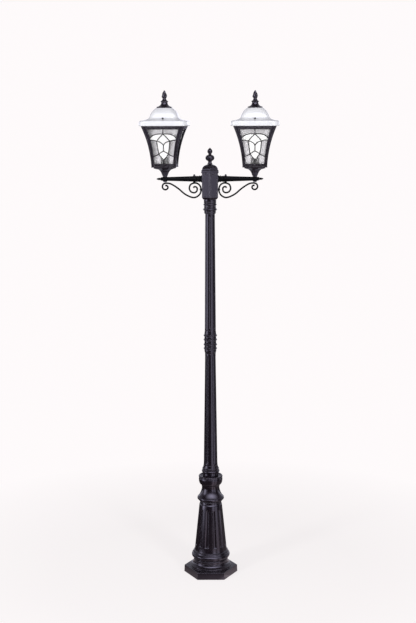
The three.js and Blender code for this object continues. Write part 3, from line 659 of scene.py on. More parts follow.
def hub_section(flat, relief):
    """A hexagon with a double bead at every corner, as seen from above. relief
    is the share of the full depth of the sunk panels."""
    half = flat * math.tan(math.radians(30))
    profile = ((0, 0), (2.2, 0), (2.8, 1), (3.8, 1), (4.4, 0), (6.2, 0), (7.4, 1.5), (half, 1.5))
    ring = []
    for face in range(6):
        outwards = math.radians(30 + 60 * face)
        one_side = [(-half + along, depth) for along, depth in profile]
        other_side = [(-along, depth) for along, depth in reversed(one_side[1:-1])]
        for along, depth in one_side + other_side:
            out = flat - depth * relief
            ring.append(Vector((out * math.sin(outwards) + along * math.cos(outwards),
                                -out * math.cos(outwards) + along * math.sin(outwards), 0)))
    return ring


def make_hub():
    node = "hub_box"
    foot, top = foot_of(node), top_of(node)
    levels = [(33.2, 0, 0), (34, 0.6, 0), (39.3, 8.6, 0), (39.5, 11, 0), (39.5, 13, 0), (39.5, 14.6, 1)]
    height = top - foot
    levels += [(39.5, share, 1) for share in (40, 80, height - 6.5)]
    levels += [(39.5, height - 5, 0), (39.5, height, 0)]
    inner = [(34.5, height, 0), (34.5, 15, 0)]
    rings = [[point + Vector((0, 0, foot + z)) for point in hub_section(flat, relief)]
             for flat, z, relief in levels + inner]
    box = skin([[Vector((0, 0, foot))]] + rings + [[Vector((0, 0, foot + 15))]])
    wire_height = top_of("arm_right") - 10
    rod_radius, cable_radius, wire_radius, screw_radius = 5.4, 3.9, 4.5, 1.9
    holes = [
        upright_rod(rod_radius, foot - 1, foot + 16),
        moved(upright_rod(cable_radius, foot - 1, foot + 16), 0, 14.5, 0),
        along_x(upright_rod(wire_radius, -45, 45), wire_height),
        along_x(upright_rod(screw_radius, -45, 45), middle_of("hub_screw_right", "z")),
    ]
    add_piece("hub_housing", combined(box, holes), node, BLACK, bevel=0.25)


def make_hub_lid():
    node = "hub_lid"
    length = length_of(node)
    bore = 5.5
    outline = Outline(bore, 12).line((34, 12), (38, 0), (42.4, 0), (43, 1))
    outline.line((43, 3), (42, 4), (42, 12.5), (41, 14))
    outline.line((38.8, 15.5), (38.4, 17.5))
    outline.arc((0, 17.5), (38.4, length - 17.5), 4, 75, 14).line((8, length), (bore, length))
    add_standing("hub_dome", turned(outline, 48, 0.4, hexagonal(0), closed=True), node, BLACK)


def make_hub_finial():
    node = "hub_finial"
    length = length_of(node)
    bore = 5.4
    outline = Outline(0, 10).line((bore, 10), (bore, 0), (14, 0), (14, 1.2))
    outline.curve((9.4, 3.5), (8.8, 12), 8).line((10.6, 14), (10.6, 16))
    outline.curve((20.5, 19), (22.2, 30), 8).curve((22, 40), (12.5, 44), 8)
    outline.line((8, 45.5), (6.8, 47), (8.4, 49), (8.4, 50.5), (7, 51.5))
    outline.curve((13.6, 56), (12.4, 65), 8).curve((10, 72), (3.4, length - 3), 8)
    outline.curve((2.4, length), (0, length), 4)
    add_standing("hub_bud", turned(outline, 48, 0.4), node, BLACK)


# ----------------------------------------------------------- arms and scrolls

def sided(side):
    """Turns a piece made for the right arm to its own side."""
    return Matrix.Rotation(math.pi if side == "left" else 0, 4, "Z")


def along_x(mesh, height):
    return placed(mesh, Matrix.Translation((0, 0, height)) @ Matrix.Rotation(math.pi / 2, 4, "Y"))


STEM_REACH = abs(joint_named["right_lantern_swivel"]["pos_m"][0]) / MM
SEAT = joint_named["right_lantern_swivel"]["pos_m"][2] / MM
ARM_HEIGHT = SEAT - 10
ARM_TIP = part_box("arm_right")[1].x / MM
CLIP_REACH = middle_of("scroll_clip_right", "x")


def make_arm(side):
    node = f"arm_{side}"
    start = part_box("arm_right")[0].x / MM
    outline = Outline(0, start).line((17.5, start), (17.5, start + 3.4), (15.4, start + 5.4))
    outline.bead(16.6, start + 11.5, 2.8).line((13.6, start + 16), (14.6, start + 19), (14.6, start + 24))
    outline.bead(16, start + 28.5, 2.8).line((13.6, start + 33), (13.4, start + 44))
    outline.line((9.6, STEM_REACH - 16), (9.8, STEM_REACH - 12), (9, STEM_REACH + 14))
    outline.curve((8.6, STEM_REACH + 20.5), (6.4, STEM_REACH + 21.6), 5).line((5, STEM_REACH + 22.4))
    outline.curve((6.6, STEM_REACH + 28), (4.2, STEM_REACH + 35), 8)
    outline.curve((2.4, ARM_TIP - 1), (0, ARM_TIP), 5)
    taper = along_x(turned(outline, 40, 0.5), ARM_HEIGHT)
    boss_outline = Outline(0, -11).line((10.6, -11), (12, -9), (12, -3), (11.2, -1), (11.2, 5))
    boss_outline.line((12.4, 7), (12.4, 10), (0, 10))
    boss = moved(turned(boss_outline, 40, 0.5), STEM_REACH, 0, ARM_HEIGHT)
    whole = combined(taper, [boss], "UNION")
    cutters = [
        along_x(upright_rod(4.5, start - 1, STEM_REACH), ARM_HEIGHT),
        moved(upright_rod(6.4, ARM_HEIGHT - 13, SEAT + 1), STEM_REACH, 0, 0),
        moved(upright_rod(2.9, ARM_HEIGHT - 20, ARM_HEIGHT + 20), CLIP_REACH, 0, 0),
    ]
    add_piece(f"tapered_arm_{side}", placed(combined(whole, cutters), sided(side)), node, BAR_BLACK)


def scroll_path():
    """The middle line of the right-hand bar: a spiral by the hub, a sweep, and
    a spiral by the lantern. A spiral is (degrees, radius) about its centre."""
    hub_centre, lantern_centre = (76.8, 1973.5), (216.6, 1982.1)
    hub_spiral = ((-330, 5), (-270, 8), (-220, 11), (-180, 14), (-130, 18), (-90, 21), (-45, 23),
                  (0, 24.5), (50, 26), (105, 27.3), (150, 30.5), (195, 34.3), (235, 40), (275, 45))
    lantern_spiral = ((102, 17.5), (50, 17.3), (0, 16.8), (-45, 16), (-90, 14.5), (-135, 12.3),
                      (-180, 10), (-240, 7), (-300, 4.5))

    def points_of(centre, spiral):
        points = []
        for degrees, radius in spiral:
            angle = math.radians(degrees)
            x, z = centre[0] + radius * math.cos(angle), centre[1] + radius * math.sin(angle)
            points.append(Vector((x, 0, z)))
        return points

    sweep = [Vector((x, 0, z)) for x, z in ((120, 1944), (156, 1973.5), (190, 1995))]
    return points_of(hub_centre, hub_spiral) + sweep + points_of(lantern_centre, lantern_spiral)


def smooth_path(points, steps):
    """A curve through every point."""
    padded = [2 * points[0] - points[1], *points, 2 * points[-1] - points[-2]]
    path = []
    for a, b, c, d in zip(padded, padded[1:], padded[2:], padded[3:]):
        for i in range(steps):
            t = i / steps
            path.append(0.5 * (2 * b + (c - a) * t + (2 * a - 5 * b + 4 * c - d) * t ** 2
                               + (3 * b - a - 3 * c + d) * t ** 3))
    return path + [points[-1]]


def bar_along(path, radius_at, sides=16):
    """A round bar that follows a flat path in the XZ plane."""
    sideways = Vector((0, 1, 0))
    rings = []
    for i, here in enumerate(path):
        direction = (path[min(i + 1, len(path) - 1)] - path[max(i - 1, 0)]).normalized()
        out = direction.cross(sideways)
        radius = radius_at(i / (len(path) - 1))
        rings.append([here + radius * (math.cos(a) * sideways + math.sin(a) * out)
                      for a in (2 * math.pi * k / sides for k in range(sides))])
    return skin([[path[0]]] + rings + [[path[-1]]])


SCROLL_LINE = smooth_path(scroll_path(), 7)


def make_scroll(side):
    bar_radius, end_swell, tip_cut = 4.0, 0.8, 1.6

    def radius_at(share):
        """The bar swells a little near both ends and is blunt at the tips."""
        near_end = min(share, 1 - share) * 160
        swell = end_swell * math.exp(-((near_end - 1.2) / 1.4) ** 2)
        return bar_radius + swell - (tip_cut if near_end < 0.5 else 0)

    hole = along_x(upright_rod(1.7, 38, 52, 12), middle_of("hub_screw_right", "z"))
    bar = combined(bar_along(SCROLL_LINE, radius_at), [hole])
    add_piece(f"scroll_bar_{side}", placed(bar, sided(side)), f"scroll_{side}", BAR_BLACK)


def box_mesh(low, high):
    corners = ((low[0], low[1]), (high[0], low[1]), (high[0], high[1]), (low[0], high[1]))
    return skin([[Vector((x, y, z)) for x, y in corners] for z in (low[2], high[2])], capped=True)


def make_clip(side):
    node = f"scroll_clip_{side}"
    block = box_mesh((CLIP_REACH - 6, -7, ARM_HEIGHT - 23.3), (CLIP_REACH + 6, 7, ARM_HEIGHT - 13.9))
    bmesh.ops.bevel(block, geom=block.edges[:], offset=1.4, segments=3, profile=0.5, affect="EDGES")
    stud = moved(upright_rod(2.4, ARM_HEIGHT - 15, ARM_HEIGHT - 8), CLIP_REACH, 0, 0)
    groove = bar_along(SCROLL_LINE, lambda share: 4.3)
    clip = combined(combined(block, [stud], "UNION"), [groove])
    add_piece(f"scroll_saddle_{side}", placed(clip, sided(side)), node, BAR_BLACK)


def make_knob(side):
    node = f"arm_knob_{side}"
    length = length_of(node)
    seat = 7.6
    outline = Outline(0, 0).line((2.4, 0), (2.4, seat), (6.2, seat), (6.2, seat + 2))
    outline.line((4.6, seat + 3.2), (4.2, seat + 4)).curve((5.4, seat + 6.4), (3.2, length - 0.8), 6)
    outline.curve((1.6, length), (0, length), 4)
    knob = placed(moved(turned(outline, 24, 0.3), CLIP_REACH, 0, 0), sided(side))
    add_standing(f"knob_{side}", knob, node, BLACK)


def screw_mesh(shank, head, shank_start, face, dome):
    """A round-headed screw along +Z with a cross slot."""
    outline = Outline(0, shank_start).line((shank, shank_start), (shank, face), (head, face))
    outline.arc((0, face + 0.3), (head, dome - 0.3), 5, 88, 8).line((0, face + dome))
    body = turned(outline, 24, 0.1)
    slot_depth = face + dome * 0.55
    half_width, half_length = 0.35, head * 0.6
    slots = [box_mesh((-x, -y, slot_depth), (x, y, face + dome + 1))
             for x, y in ((half_length, half_width), (half_width, half_length))]
    return combined(body, slots)


def make_hub_screw(side):
    node = f"hub_screw_{side}"
    start, end = (corner.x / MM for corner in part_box("hub_screw_right"))
    screw = along_x(screw_mesh(1.4, 4.4, start, end - 3.2, 3.2), middle_of("hub_screw_right", "z"))
    add_piece(f"scroll_screw_{side}", placed(screw, sided(side)), node, BLACK)


# ------------------------------------------------------------------- lanterns

FRAME_BOTTOM, FRAME_TOP = 49.7, 245.7
WINDOW_BOTTOM, WINDOW_TOP = 64, 230
FRAME_THICKNESS = 4
ROOF_DOME_TOP = 332.5
CAME_INSET, GLASS_INSET = 6, 8.5


def share_up(height):
    return max(0.0, (height - FRAME_BOTTOM) / (FRAME_TOP - FRAME_BOTTOM))


def frame_half(height):
    """Half the flared frame's outer width at a height."""
    return 59.5 + 12 * share_up(height) + 33 * share_up(height) ** 2.2


def window_half(height):
    return frame_half(height) - 14.6 - 9.5 * share_up(height) ** 1.4


def on_front(across, height, inset):
    """A point on the flared front, at an inset from its outer face."""
    return Vector((across, inset - frame_half(height), height))


def spread(start, end, steps):
    return [start + (end - start) * i / steps for i in range(steps + 1)]


def lantern_place(side):
    """Where a lantern stands, with the turn of its front read from its screw."""
    joint = joint_named[f"{side}_lantern_swivel"]["pos_m"]
    low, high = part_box(f"roof_screw_front_{side}")
    middle = (low + high) / 2
    turn = math.atan2(middle.x - joint[0], joint[1] - middle.y)
    return Matrix.Translation(Vector(joint) / MM) @ Matrix.Rotation(turn, 4, "Z")


def on_lantern(mesh, side, height=0):
    """Puts a mesh on a lantern, at a height above the lantern's seat."""
    return placed(mesh, lantern_place(side) @ Matrix.Translation((0, 0, height)))


def corner_post():
    """The front right angle post: a bead, a groove and a rim on both faces."""
    rings = []
    for height in spread(FRAME_BOTTOM, FRAME_TOP, 24):
        half, width = frame_half(height), frame_half(height) - window_half(height)
        profile = ((0.6, 0.0), (2.0, 0.0), (4.4, 0.0), (5.0, 1.3), (6.8, 1.3), (7.4, 0.3), (width - 3.4, 0.3),
                   (width - 2.8, 0.9), (width - 2.2, 0.0), (width - 0.5, 0.0), (width, 0.6))
        front = [(half - along, depth - half) for along, depth in reversed(profile)]
        side = [(half - depth, along - half) for along, depth in profile]
        inner = half - FRAME_THICKNESS
        back = [(inner, width - half), (inner, -inner), (half - width, -inner)]
        rings.append([Vector((x, y, height)) for x, y in front + side + back])
    return skin(rings, capped=True)


def band(bottom, top, pitch, groove):
    """A band between two posts, with upright ribs on its outer face."""
    reach = window_half((bottom + top) / 2) + 1
    count = int(2 * reach / pitch)
    start = -count * pitch / 2
    stops = [(-reach, groove)]
    for i in range(count):
        left = start + i * pitch
        stops += [(left + 0.22 * pitch, groove), (left + 0.34 * pitch, 0.2), (left + 0.66 * pitch, 0.2),
                  (left + 0.78 * pitch, groove)]
    stops.append((reach, groove))
    edge = 1.6
    rings = []
    for across, depth in stops:
        section = ((0.4, bottom), (0.4, bottom + edge - 0.3), (depth, bottom + edge), (depth, top - edge),
                   (0.4, top - edge + 0.3), (0.4, top), (FRAME_THICKNESS, top), (FRAME_THICKNESS, bottom))
        rings.append([on_front(across, height, inset) for inset, height in section])
    return skin(rings, capped=True)


def foot_ball():
    outline = Outline(0, -3.4).arc((0, 0), (3.2, 3.4), -88, 20, 8).line((2.6, 1.6), (0, 1.6))
    corner = frame_half(FRAME_BOTTOM) - 2
    return moved(turned(outline, 20, 0.2), corner, -corner, FRAME_BOTTOM)


def make_lantern_frame(side):
    def quarter():
        return merged([corner_post(), band(WINDOW_TOP, FRAME_TOP, 3.4, 1.5),
                       band(FRAME_BOTTOM, WINDOW_BOTTOM, 5.2, 1.2), foot_ball()])

    mesh = on_lantern(quarters(quarter), side)
    add_piece(f"flared_frame_{side}", mesh, f"lantern_frame_{side}", BLACK)


def make_lantern_base(side):
    plate_top = FRAME_BOTTOM - 0.3
    outline = Outline(0, -26).line((6, -26), (6, 0.3), (11, 0.3), (11, 2.6), (10, 3.6))
    outline.line((12.4, 5), (14.6, 10)).curve((17.5, 22), (25.6, 31), 10).line((27, 31.8), (27, 33.2))
    outline.line((30.6, 34), (30.6, 35.8)).curve((37, 37.5), (46, 41), 8).line((49.8, 42), (51, 43))
    outline.line((51, 47), (56.6, 47.3), (57.5, 48), (57.5, plate_top), (0, plate_top))
    square = square_at(lambda height: 2 if height < 36.5 else min(16, 2 + (height - 36.5) * 3))
    dish_ribs, neck_ribs = ribbed(36, 1.3, 36.5, 41.5), ribbed(16, 1.4, 5, 31)

    def shape(radius, height, angle):
        return square(dish_ribs(neck_ribs(radius, height, angle), height, angle), height, angle)

    bell = turned(outline, 144, 0.4, shape)
    bored = combined(bell, [upright_rod(3.4, -27, plate_top + 1)])
    add_piece(f"lantern_seat_{side}", on_lantern(bored, side), f"lantern_base_{side}", BLACK)


def make_swivel_nut(side):
    node = f"swivel_nut_{side}"
    bottom, top = foot_of(node) - SEAT, top_of(node) - SEAT
    flat = 10 * math.cos(math.radians(30))
    outline = Outline(6.4, bottom).line((flat - 0.9, bottom), (flat, bottom + 0.7), (flat, top - 0.7))
    outline.line((flat - 0.9, top), (6.4, top))
    nut = turned(outline, 48, 0, lambda r, h, a: hexagonal(0)(r, h, a) if r > 7 else r, closed=True)
    add_piece(f"stem_nut_{side}", on_lantern(nut, side), node, BLACK)


def bend(start, via, end, steps=8):
    """Points of a quadratic bend, as (across, height)."""
    return [tuple(p) for p in Outline(*start).curve(via, end, steps).points]


CROWN, SHOULDER, WAIST, HEART = (0, 207.5), (32, 173.5), (0, 153.5), (0, 125.5)
HIP, PANE_FOOT = (23, 112), (0, 83.5)


def edge_at(height):
    return (window_half(height) + 2, height)


def came_lines():
    """The leaded pattern of one pane. Lines off the middle come in pairs."""
    middle = [[(0, WINDOW_TOP + 2), CROWN], [WAIST, HEART], [PANE_FOOT, (0, WINDOW_BOTTOM - 2)]]
    right = [
        bend(CROWN, (50, 212), edge_at(186)),
        bend(CROWN, (17, 193), SHOULDER, 4),
        bend(SHOULDER, (44, 180), edge_at(178)),
        bend(SHOULDER, (10, 172), WAIST),
        bend(SHOULDER, (29, 142), HIP),
        bend(HEART, (13, 121), HIP),
        bend(HIP, (36, 103), edge_at(100)),
        bend(HIP, (13, 96), PANE_FOOT),
    ]
    left = [[(-across, height) for across, height in line] for line in right]
    return middle + right + left


def came_strip(line, width, inset, thickness):
    """A rounded lead strip laid on the flared front along a line."""
    section = ((-0.5, 0.7), (-0.36, 0.2), (-0.15, 0.0), (0.15, 0.0), (0.36, 0.2), (0.5, 0.7),
               (0.5, 1.0), (-0.5, 1.0))
    points = [Vector(p) for p in line]
    rings = []
    for i, here in enumerate(points):
        direction = (points[min(i + 1, len(points) - 1)] - points[max(i - 1, 0)]).normalized()
        across = Vector((-direction.y, direction.x))
        ring = []
        for along, depth in section:
            spot = here + across * along * width
            ring.append(on_front(spot.x, spot.y, inset + depth * thickness))
        rings.append(ring)
    return skin(rings, capped=True)


def solder_spot(spot, inset):
    """A low round blob of solder on the cames."""
    across, height = spot
    rings = [[on_front(across, height, inset + 1.2)]]
    for radius, depth in ((2.3, 1.2), (2.0, 0.3), (1.1, -0.2)):
        ring = []
        for k in range(12):
            x, y = radius * math.cos(math.pi / 6 * k), radius * math.sin(math.pi / 6 * k)
            ring.append(on_front(across + x, height + y, inset + depth))
        rings.append(ring)
    return skin(rings + [[on_front(*spot, inset - 0.3)]])


def make_came_cage(side):
    came_width, rim_width, thickness = 4, 6, 2

    def one_face():
        strips = [came_strip(line, came_width, CAME_INSET, thickness) for line in came_lines()]
        joints = [CROWN, SHOULDER, WAIST, HEART, HIP, PANE_FOOT]
        joints += [(-across, height) for across, height in (SHOULDER, HIP)]
        spots = [solder_spot(spot, CAME_INSET) for spot in joints]
        heights = spread(WINDOW_BOTTOM - 3, WINDOW_TOP + 3, 14)
        rims = [[(way * (window_half(h) + 2.5), h) for h in heights] for way in (-1, 1)]
        for height in (WINDOW_BOTTOM - 2.5, WINDOW_TOP + 2.5):
            reach = window_half(height) + 4
            rims.append([(x, height) for x in spread(-reach, reach, 4)])
        rims = [came_strip(line, rim_width, CAME_INSET, thickness) for line in rims]
        return merged(strips + spots + rims)

    add_piece(f"leading_{side}", on_lantern(quarters(one_face), side), f"came_cage_{side}", BAR_BLACK)


# A point inside each frosted cell, as (across, height). The other cells are hammered.
FROSTED_CELLS = ((0, 180), (44, 190), (-44, 190), (14, 140), (-14, 140), (0, 104))


def split_pane():
    """A pane cut along its cames: the corners of its flat triangles, the
    triangles, and the numbers of the triangles that are frosted."""
    bottom, top = WINDOW_BOTTOM - 10, WINDOW_TOP + 6
    heights = spread(bottom, top, 20)

    def half_at(height):
        return frame_half(height) - GLASS_INSET - 3.3

    def at_rim(end):
        across, height = end
        if abs(across) > window_half(height):
            return math.copysign(half_at(height) + 0.2, across), height
        if height > WINDOW_TOP:
            return across, top
        if height < WINDOW_BOTTOM:
            return across, bottom
        return end

    rim = [(half_at(h), h) for h in heights] + [(-half_at(h), h) for h in reversed(heights)]
    points, edges = [Vector(p) for p in rim], [(i, (i + 1) % len(rim)) for i in range(len(rim))]
    for line in came_lines():
        line = [at_rim(line[0])] + line[1:-1] + [at_rim(line[-1])]
        first = len(points)
        points += [Vector(p) for p in line]
        edges += [(first + i, first + i + 1) for i in range(len(line) - 1)]
    for height in heights[1:-1]:
        reach = half_at(height) - 3
        points += [Vector((x, height)) for x in spread(-reach, reach, 14)]
    spots, lines, triangles, _, line_sources, _ = delaunay_2d_cdt(points, edges, [], 1, 0.01)
    walls = {frozenset(line) for line, source in zip(lines, line_sources) if source}
    beside = {}
    for index, triangle in enumerate(triangles):
        for a, b in zip(triangle, triangle[1:] + triangle[:1]):
            if frozenset((a, b)) not in walls:
                beside.setdefault(frozenset((a, b)), []).append(index)
    neighbours = {index: set() for index in range(len(triangles))}
    for pair in beside.values():
        for index in pair:
            neighbours[index].update(pair)

    middles = [sum((spots[k] for k in triangle), Vector((0, 0))) / 3 for triangle in triangles]
    frosted = set()
    for cell in FROSTED_CELLS:
        waiting = [min(range(len(triangles)), key=lambda i: (middles[i] - Vector(cell)).length)]
        while waiting:
            index = waiting.pop()
            if index not in frosted:
                frosted.add(index)
                waiting.extend(neighbours[index])
    return spots, triangles, frosted


PANE = split_pane()


def make_panes(side):
    direction = 1 if side == "left" else -1
    for quarter, where in enumerate(("front", "inner", "back", "outer")):
        spots, triangles, frosted = PANE
        mesh = bmesh.new()
        corners = [mesh.verts.new(on_front(spot.x, spot.y, GLASS_INSET)) for spot in spots]
        for index, triangle in enumerate(triangles):
            face = mesh.faces.new([corners[k] for k in triangle])
            face.material_index = 0 if index in frosted else 1
        bmesh.ops.recalc_face_normals(mesh, faces=mesh.faces)
        if sum(face.normal.y for face in mesh.faces) > 0:
            bmesh.ops.reverse_faces(mesh, faces=mesh.faces)
        bmesh.ops.solidify(mesh, geom=mesh.faces[:], thickness=3)
        turn = Matrix.Rotation(direction * quarter * math.pi / 2, 4, "Z")
        pane = on_lantern(placed(mesh, turn), side)
        add_piece(f"pane_{where}_{side}", pane, f"glass_{where}_{side}", FROSTED, HAMMERED)


def make_lampholder(side):
    outline = Outline(4, 0).line((17, 0), (20.4, 6), (21, 8), (21, 24))
    outline.line((20, 25), (20, 27), (21, 28), (21, 39))
    outline.curve((20.8, 44), (18, 44), 5).line((14.2, 44), (14.2, 14))
    outline.line((4, 14))
    grips = ribbed(30, 0.9, 8, 24)
    mesh = turned(outline, 120, 0.4, lambda r, h, a: grips(r, h, a) if r > 20 else r, closed=True)
    add_piece(f"socket_{side}", on_lantern(mesh, side, FRAME_BOTTOM), f"lampholder_{side}", PLASTIC)


def make_bulb(side):
    outline = Outline(0, 0).line((4.4, 0), (5, 1), (12.4, 4))
    for turn in range(6):
        outline.line((12.2, 5 + 3.4 * turn), (13.2, 6.7 + 3.4 * turn))
    outline.line((12.6, 26), (13.4, 27.5), (13.4, 30))
    outline.curve((16.5, 42), (25.2, 66), 10).arc((0, 84), (30, 29), -30, 86, 18).line((0, 113))
    cap_top = 27
    mesh = turned(outline, 48, 0.4)
    for face in mesh.faces:
        face.material_index = 1 if face.calc_center_median().z < cap_top else 0
    lamp = on_lantern(mesh, side, FRAME_BOTTOM + 15)
    add_piece(f"globe_lamp_{side}", lamp, f"bulb_{side}", OPAL, ZINC)


def along_y(mesh, height):
    return placed(mesh, Matrix.Translation((0, 0, height)) @ Matrix.Rotation(math.pi / 2, 4, "X"))


def make_roof(side):
    low, dome_top = FRAME_TOP + 0.3, ROOF_DOME_TOP
    outline = Outline(100, 262).line((100, low), (115.4, low)).curve((117.8, low + 0.2), (118, low + 3), 4)
    outline.line((118, 263)).curve((117.6, 269.6), (110, 271.4), 6).curve((74, 275.5), (69.8, 288), 14)
    outline.curve((62, 317), (38, dome_top), 16).line((4, dome_top), (4, dome_top - 4), (35, dome_top - 4))
    outline.line((53, 311), (64, 286), (74, 270))
    square = square_at(lambda height: 7 - 3 * (height - low) / (dome_top - low))
    shell = turned(outline, 128, 0.8, square, closed=True)
    hole = along_y(upright_rod(2.2, -110, 110, 16), middle_of(f"roof_screw_front_{side}", "z") - SEAT)
    add_piece(f"ogee_roof_{side}", on_lantern(combined(shell, [hole]), side), f"roof_{side}", WHITE)


def make_roof_finial(side):
    outline = Outline(0, -12).line((3.4, -12), (3.4, 0), (35.6, 0), (36.5, 1.2))
    outline.line((36.5, 4), (35, 5)).curve((21, 8), (17, 18), 10)
    outline.curve((15.4, 23), (15, 26), 4)
    outline.line((17.6, 27.4)).bead(18.6, 30.4, 2.2).line((14.4, 33.4), (12.6, 36))
    outline.curve((8.8, 40), (8.4, 45), 6).line((9.8, 46.2), (9.8, 47.4))
    outline.curve((16, 53), (12.8, 60.5), 8).curve((9, 74), (2.4, 82.4), 8)
    outline.curve((1, 83.9), (0, 83.9), 3)
    bud_bottom = 47.4

    def shape(radius, height, angle):
        if height < 20:
            squareness = max(2.0, 6 - height / 5) if height > -1 else 2
            return square_at(lambda h: squareness)(radius, height, angle)
        if height > bud_bottom:
            twist = (height - bud_bottom) * 0.06
            fade = min(1, (height - bud_bottom) / 6)
            return radius * (1 - 0.2 * fade * (0.5 - 0.5 * math.cos(5 * (angle + twist))) ** 0.7)
        return radius

    mesh = turned(outline, 80, 0.4, shape)
    finial = on_lantern(mesh, side, ROOF_DOME_TOP + 0.3)
    add_piece(f"flame_finial_{side}", finial, f"roof_finial_{side}", BLACK)


def make_roof_screws(side):
    for where, turn in (("front", 0), ("back", math.pi)):
        node = f"roof_screw_{where}_{side}"
        screw = along_y(screw_mesh(1.8, 4.2, 64, 82, 2.4), middle_of(node, "z") - SEAT)
        spun = placed(screw, Matrix.Rotation(turn, 4, "Z"))
        add_piece(f"roof_fixing_{where}_{side}", on_lantern(spun, side), node, BAR_BLACK)


# ------------------------------------------------------------ build the post

make_plinth()
make_column()
make_bell()
make_neck()
make_pole("lower_shaft", "lower_pole", 35.2, 26.6, math.pi / 6)
make_middle_collar()
make_pole("upper_shaft", "upper_pole", 27.6, 23.6, 0)
make_top_collar()
make_hub()
make_hub_lid()
make_hub_finial()
for one_side in ("left", "right"):
    make_arm(one_side)
    make_scroll(one_side)
    make_clip(one_side)
    make_knob(one_side)
    make_hub_screw(one_side)
    make_lantern_base(one_side)
    make_swivel_nut(one_side)
    make_lantern_frame(one_side)
    make_came_cage(one_side)
    make_panes(one_side)
    make_lampholder(one_side)
    make_bulb(one_side)
    make_roof(one_side)
    make_roof_finial(one_side)
    make_roof_screws(one_side)

kept_nodes = {"tie_rod": ZINC, "tie_nut": ZINC, "supply_cable": RUBBER, "terminal_block": PLASTIC,
              "arm_wire_left": RUBBER, "arm_wire_right": RUBBER}
for node_name, finish in kept_nodes.items():
    part = frame["nodes"][node_name]
    part.data.materials.clear()
    part.data.materials.append(finish)


# ------------------------------------------------------------------ the studio

# How bright the floor looks to dull surfaces, and close to the post to shiny ones.
FLOOR_FILL, FLOOR_SHINE = 0.45, 0.7

# Upright light panels that shiny paint reflects: the azimuth from the front
# towards +X, the full and the faded half widths in degrees, the brightness,
# and the lowest and highest slopes at which the panel is seen.
PANELS = ((-74, 6, 16, 5.0, -0.2, 0.35), (-56, 8, 16, 1.1, -0.2, 0.35), (26, 4, 15, 2.6, -2, 0.2),
          (54, 5, 13, 2.1, -2, 0.2), (100, 3, 10, 0.6, -2, 0.2))
PANEL_EDGE = 0.05
BACKDROP = (0.992, 0.958, 0.964, 1)
DARKEST = 0.04


def azimuth_of(nodes, x, y):
    """The angle of a direction from the front towards +X."""
    return nodes.maths("ARCTAN2", x, nodes.product(y, -1.0))


def panel_light(nodes, x, y, z):
    """The brightness of the upright panels in a direction."""
    azimuth = azimuth_of(nodes, x, y)
    total = DARKEST
    for direction, full, faded, brightness, lowest, highest in PANELS:
        off = nodes.maths("ABSOLUTE", nodes.maths("SUBTRACT", azimuth, math.radians(direction)))
        share = nodes.remap(off, math.radians(faded), math.radians(full), 0.0, brightness)
        above = nodes.remap(z, lowest - PANEL_EDGE, lowest + PANEL_EDGE)
        below = nodes.remap(z, highest + PANEL_EDGE, highest - PANEL_EDGE)
        share = nodes.product(share, above, below)
        total = nodes.maths("MAXIMUM", share, total)
    return total


def floor_finish():
    """Pale paper that turns to plain white away from the post. Shiny paint
    sees the panels' glow on it, and sees through its far part."""
    f = Finish("studio_floor")
    away = f.add("ShaderNodeVectorMath", {"operation": "LENGTH"}, Vector=f.place).outputs["Value"]
    tint = f.blend(f.remap(f.noise(1.2, 2), 0.3, 0.7), (0.85, 0.825, 0.82, 1), (0.88, 0.855, 0.85, 1))
    paper = f.add("ShaderNodeBsdfDiffuse", Color=tint).outputs["BSDF"]
    glow = f.pick(f.seen_by("Diffuse"), 1.0, FLOOR_FILL)
    white = f.add("ShaderNodeEmission", Color=BACKDROP, Strength=glow).outputs["Emission"]
    seen = f.mix(f.remap(away, 0.8, 2.0, 0.8, 1.0), paper, white)
    split = f.add("ShaderNodeSeparateXYZ", Vector=f.place)
    panels = panel_light(f, split.outputs["X"], split.outputs["Y"], -0.5)
    to_the_right = f.remap(split.outputs["X"], -0.35, 0.1, 0.3, 1.0)
    near = f.product(f.remap(away, 0.16, 0.5, 0.85, 0.2), to_the_right)
    shine = f.maths("MAXIMUM", f.product(panels, FLOOR_SHINE), near)
    mirrored = f.add("ShaderNodeEmission", Color=(1.0, 0.86, 0.92, 1), Strength=shine).outputs["Emission"]
    clear = f.add("ShaderNodeBsdfTransparent").outputs["BSDF"]
    reflected = f.mix(f.remap(away, 1.4, 2.2), mirrored, clear)
    f.add("ShaderNodeOutputMaterial", Surface=f.mix(f.seen_by("Glossy"), seen, reflected))
    return f.material


def make_floor():
    mesh = bmesh.new()
    bmesh.ops.create_circle(mesh, cap_ends=True, segments=96, radius=40000)
    floor = as_object("studio_floor", mesh)
    floor.data.materials.append(floor_finish())


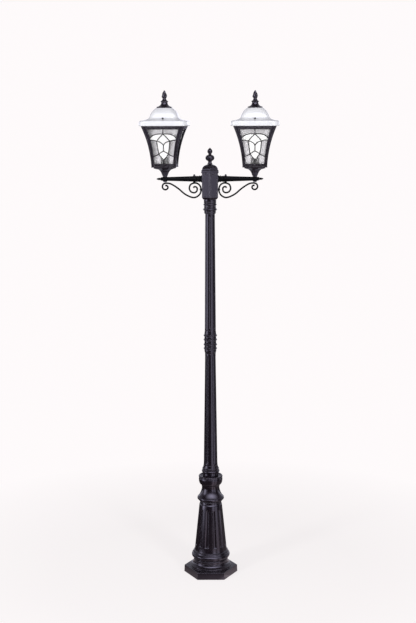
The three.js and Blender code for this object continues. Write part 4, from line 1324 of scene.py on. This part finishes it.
def make_world():
    """The light that reflections see: upright panels, a bright ceiling and a
    pale floor. The camera, and light that passes the panes, sees plain white."""
    world = bpy.data.worlds.new("studio")
    bpy.context.scene.world = world
    world.use_nodes = True
    sky = NodeSet(world.node_tree, "Generated")
    split = sky.add("ShaderNodeSeparateXYZ", Vector=sky.place)
    x, y, z = (split.outputs[axis] for axis in "XYZ")
    low_behind = sky.remap(z, 0.05, 0.2, 1.5, 0.5)
    behind = sky.product(sky.remap(y, 0.0, 0.3), sky.remap(z, -0.06, -0.01), low_behind)
    off_centre = sky.maths("ABSOLUTE", sky.maths("SUBTRACT", azimuth_of(sky, x, y), 0.2))
    ceiling = sky.product(sky.remap(z, 0.3, 0.5), sky.remap(z, 0.9, 0.7, 0.0, 6.0),
                          sky.remap(off_centre, 1.3, 0.2))
    ground = sky.remap(z, -0.3, -0.5, 0.0, 0.6)
    studio = panel_light(sky, x, y, z)
    for light in (behind, ceiling, ground):
        studio = sky.maths("MAXIMUM", studio, light)
    fill = sky.remap(z, 0.0, 0.5, 0.65, 0.3)
    strength = sky.pick(sky.seen_by("Diffuse"), sky.pick(sky.seen_by("Glossy"), 1.0, studio), fill)
    colour = sky.blend(sky.seen_by("Glossy"), BACKDROP, (0.93, 0.93, 1.08, 1))
    background = sky.add("ShaderNodeBackground", Color=colour, Strength=strength).outputs[0]
    sky.add("ShaderNodeOutputWorld", Surface=background)


def add_softbox(name, azimuth, distance, height, size, power):
    """A soft light for unpolished surfaces, at an azimuth from the front towards +X."""
    light = bpy.data.lights.new(name, "AREA")
    light.shape = "RECTANGLE"
    light.size, light.size_y = size
    light.energy = power
    holder = bpy.data.objects.new(name, light)
    angle = math.radians(azimuth)
    holder.location = (distance * math.sin(angle), -distance * math.cos(angle), height)
    aim = Vector((0, 0, 1.3)) - holder.location
    holder.rotation_euler = aim.to_track_quat("-Z", "Y").to_euler()
    holder.visible_glossy = False
    bpy.context.scene.collection.objects.link(holder)


def make_camera():
    """The camera stands 5.6 m in front, level with the arms, and looks down."""
    data = bpy.data.cameras.new("front_camera")
    data.lens, data.sensor_width = 66.05, 36
    camera = bpy.data.objects.new("front_camera", data)
    turns = ((0.115, "Z"), (90 - 9.2, "X"), (-0.15, "Z"))
    camera.matrix_world = Matrix.Translation((0, -5.63, 2.2737))
    for degrees, axis in turns:
        camera.matrix_world = camera.matrix_world @ Matrix.Rotation(math.radians(degrees), 4, axis)
    bpy.context.scene.collection.objects.link(camera)
    bpy.context.scene.camera = camera


make_floor()
make_world()
make_camera()
add_softbox("right_softbox", 29, 4.2, 2.4, (0.7, 2.2), 106)
add_softbox("left_softbox", -45, 4.2, 2.4, (0.7, 2.2), 98)
add_softbox("top_softbox", 0, 0.6, 4.6, (2.4, 2.4), 6)
bpy.context.scene.view_settings.view_transform = "Standard"
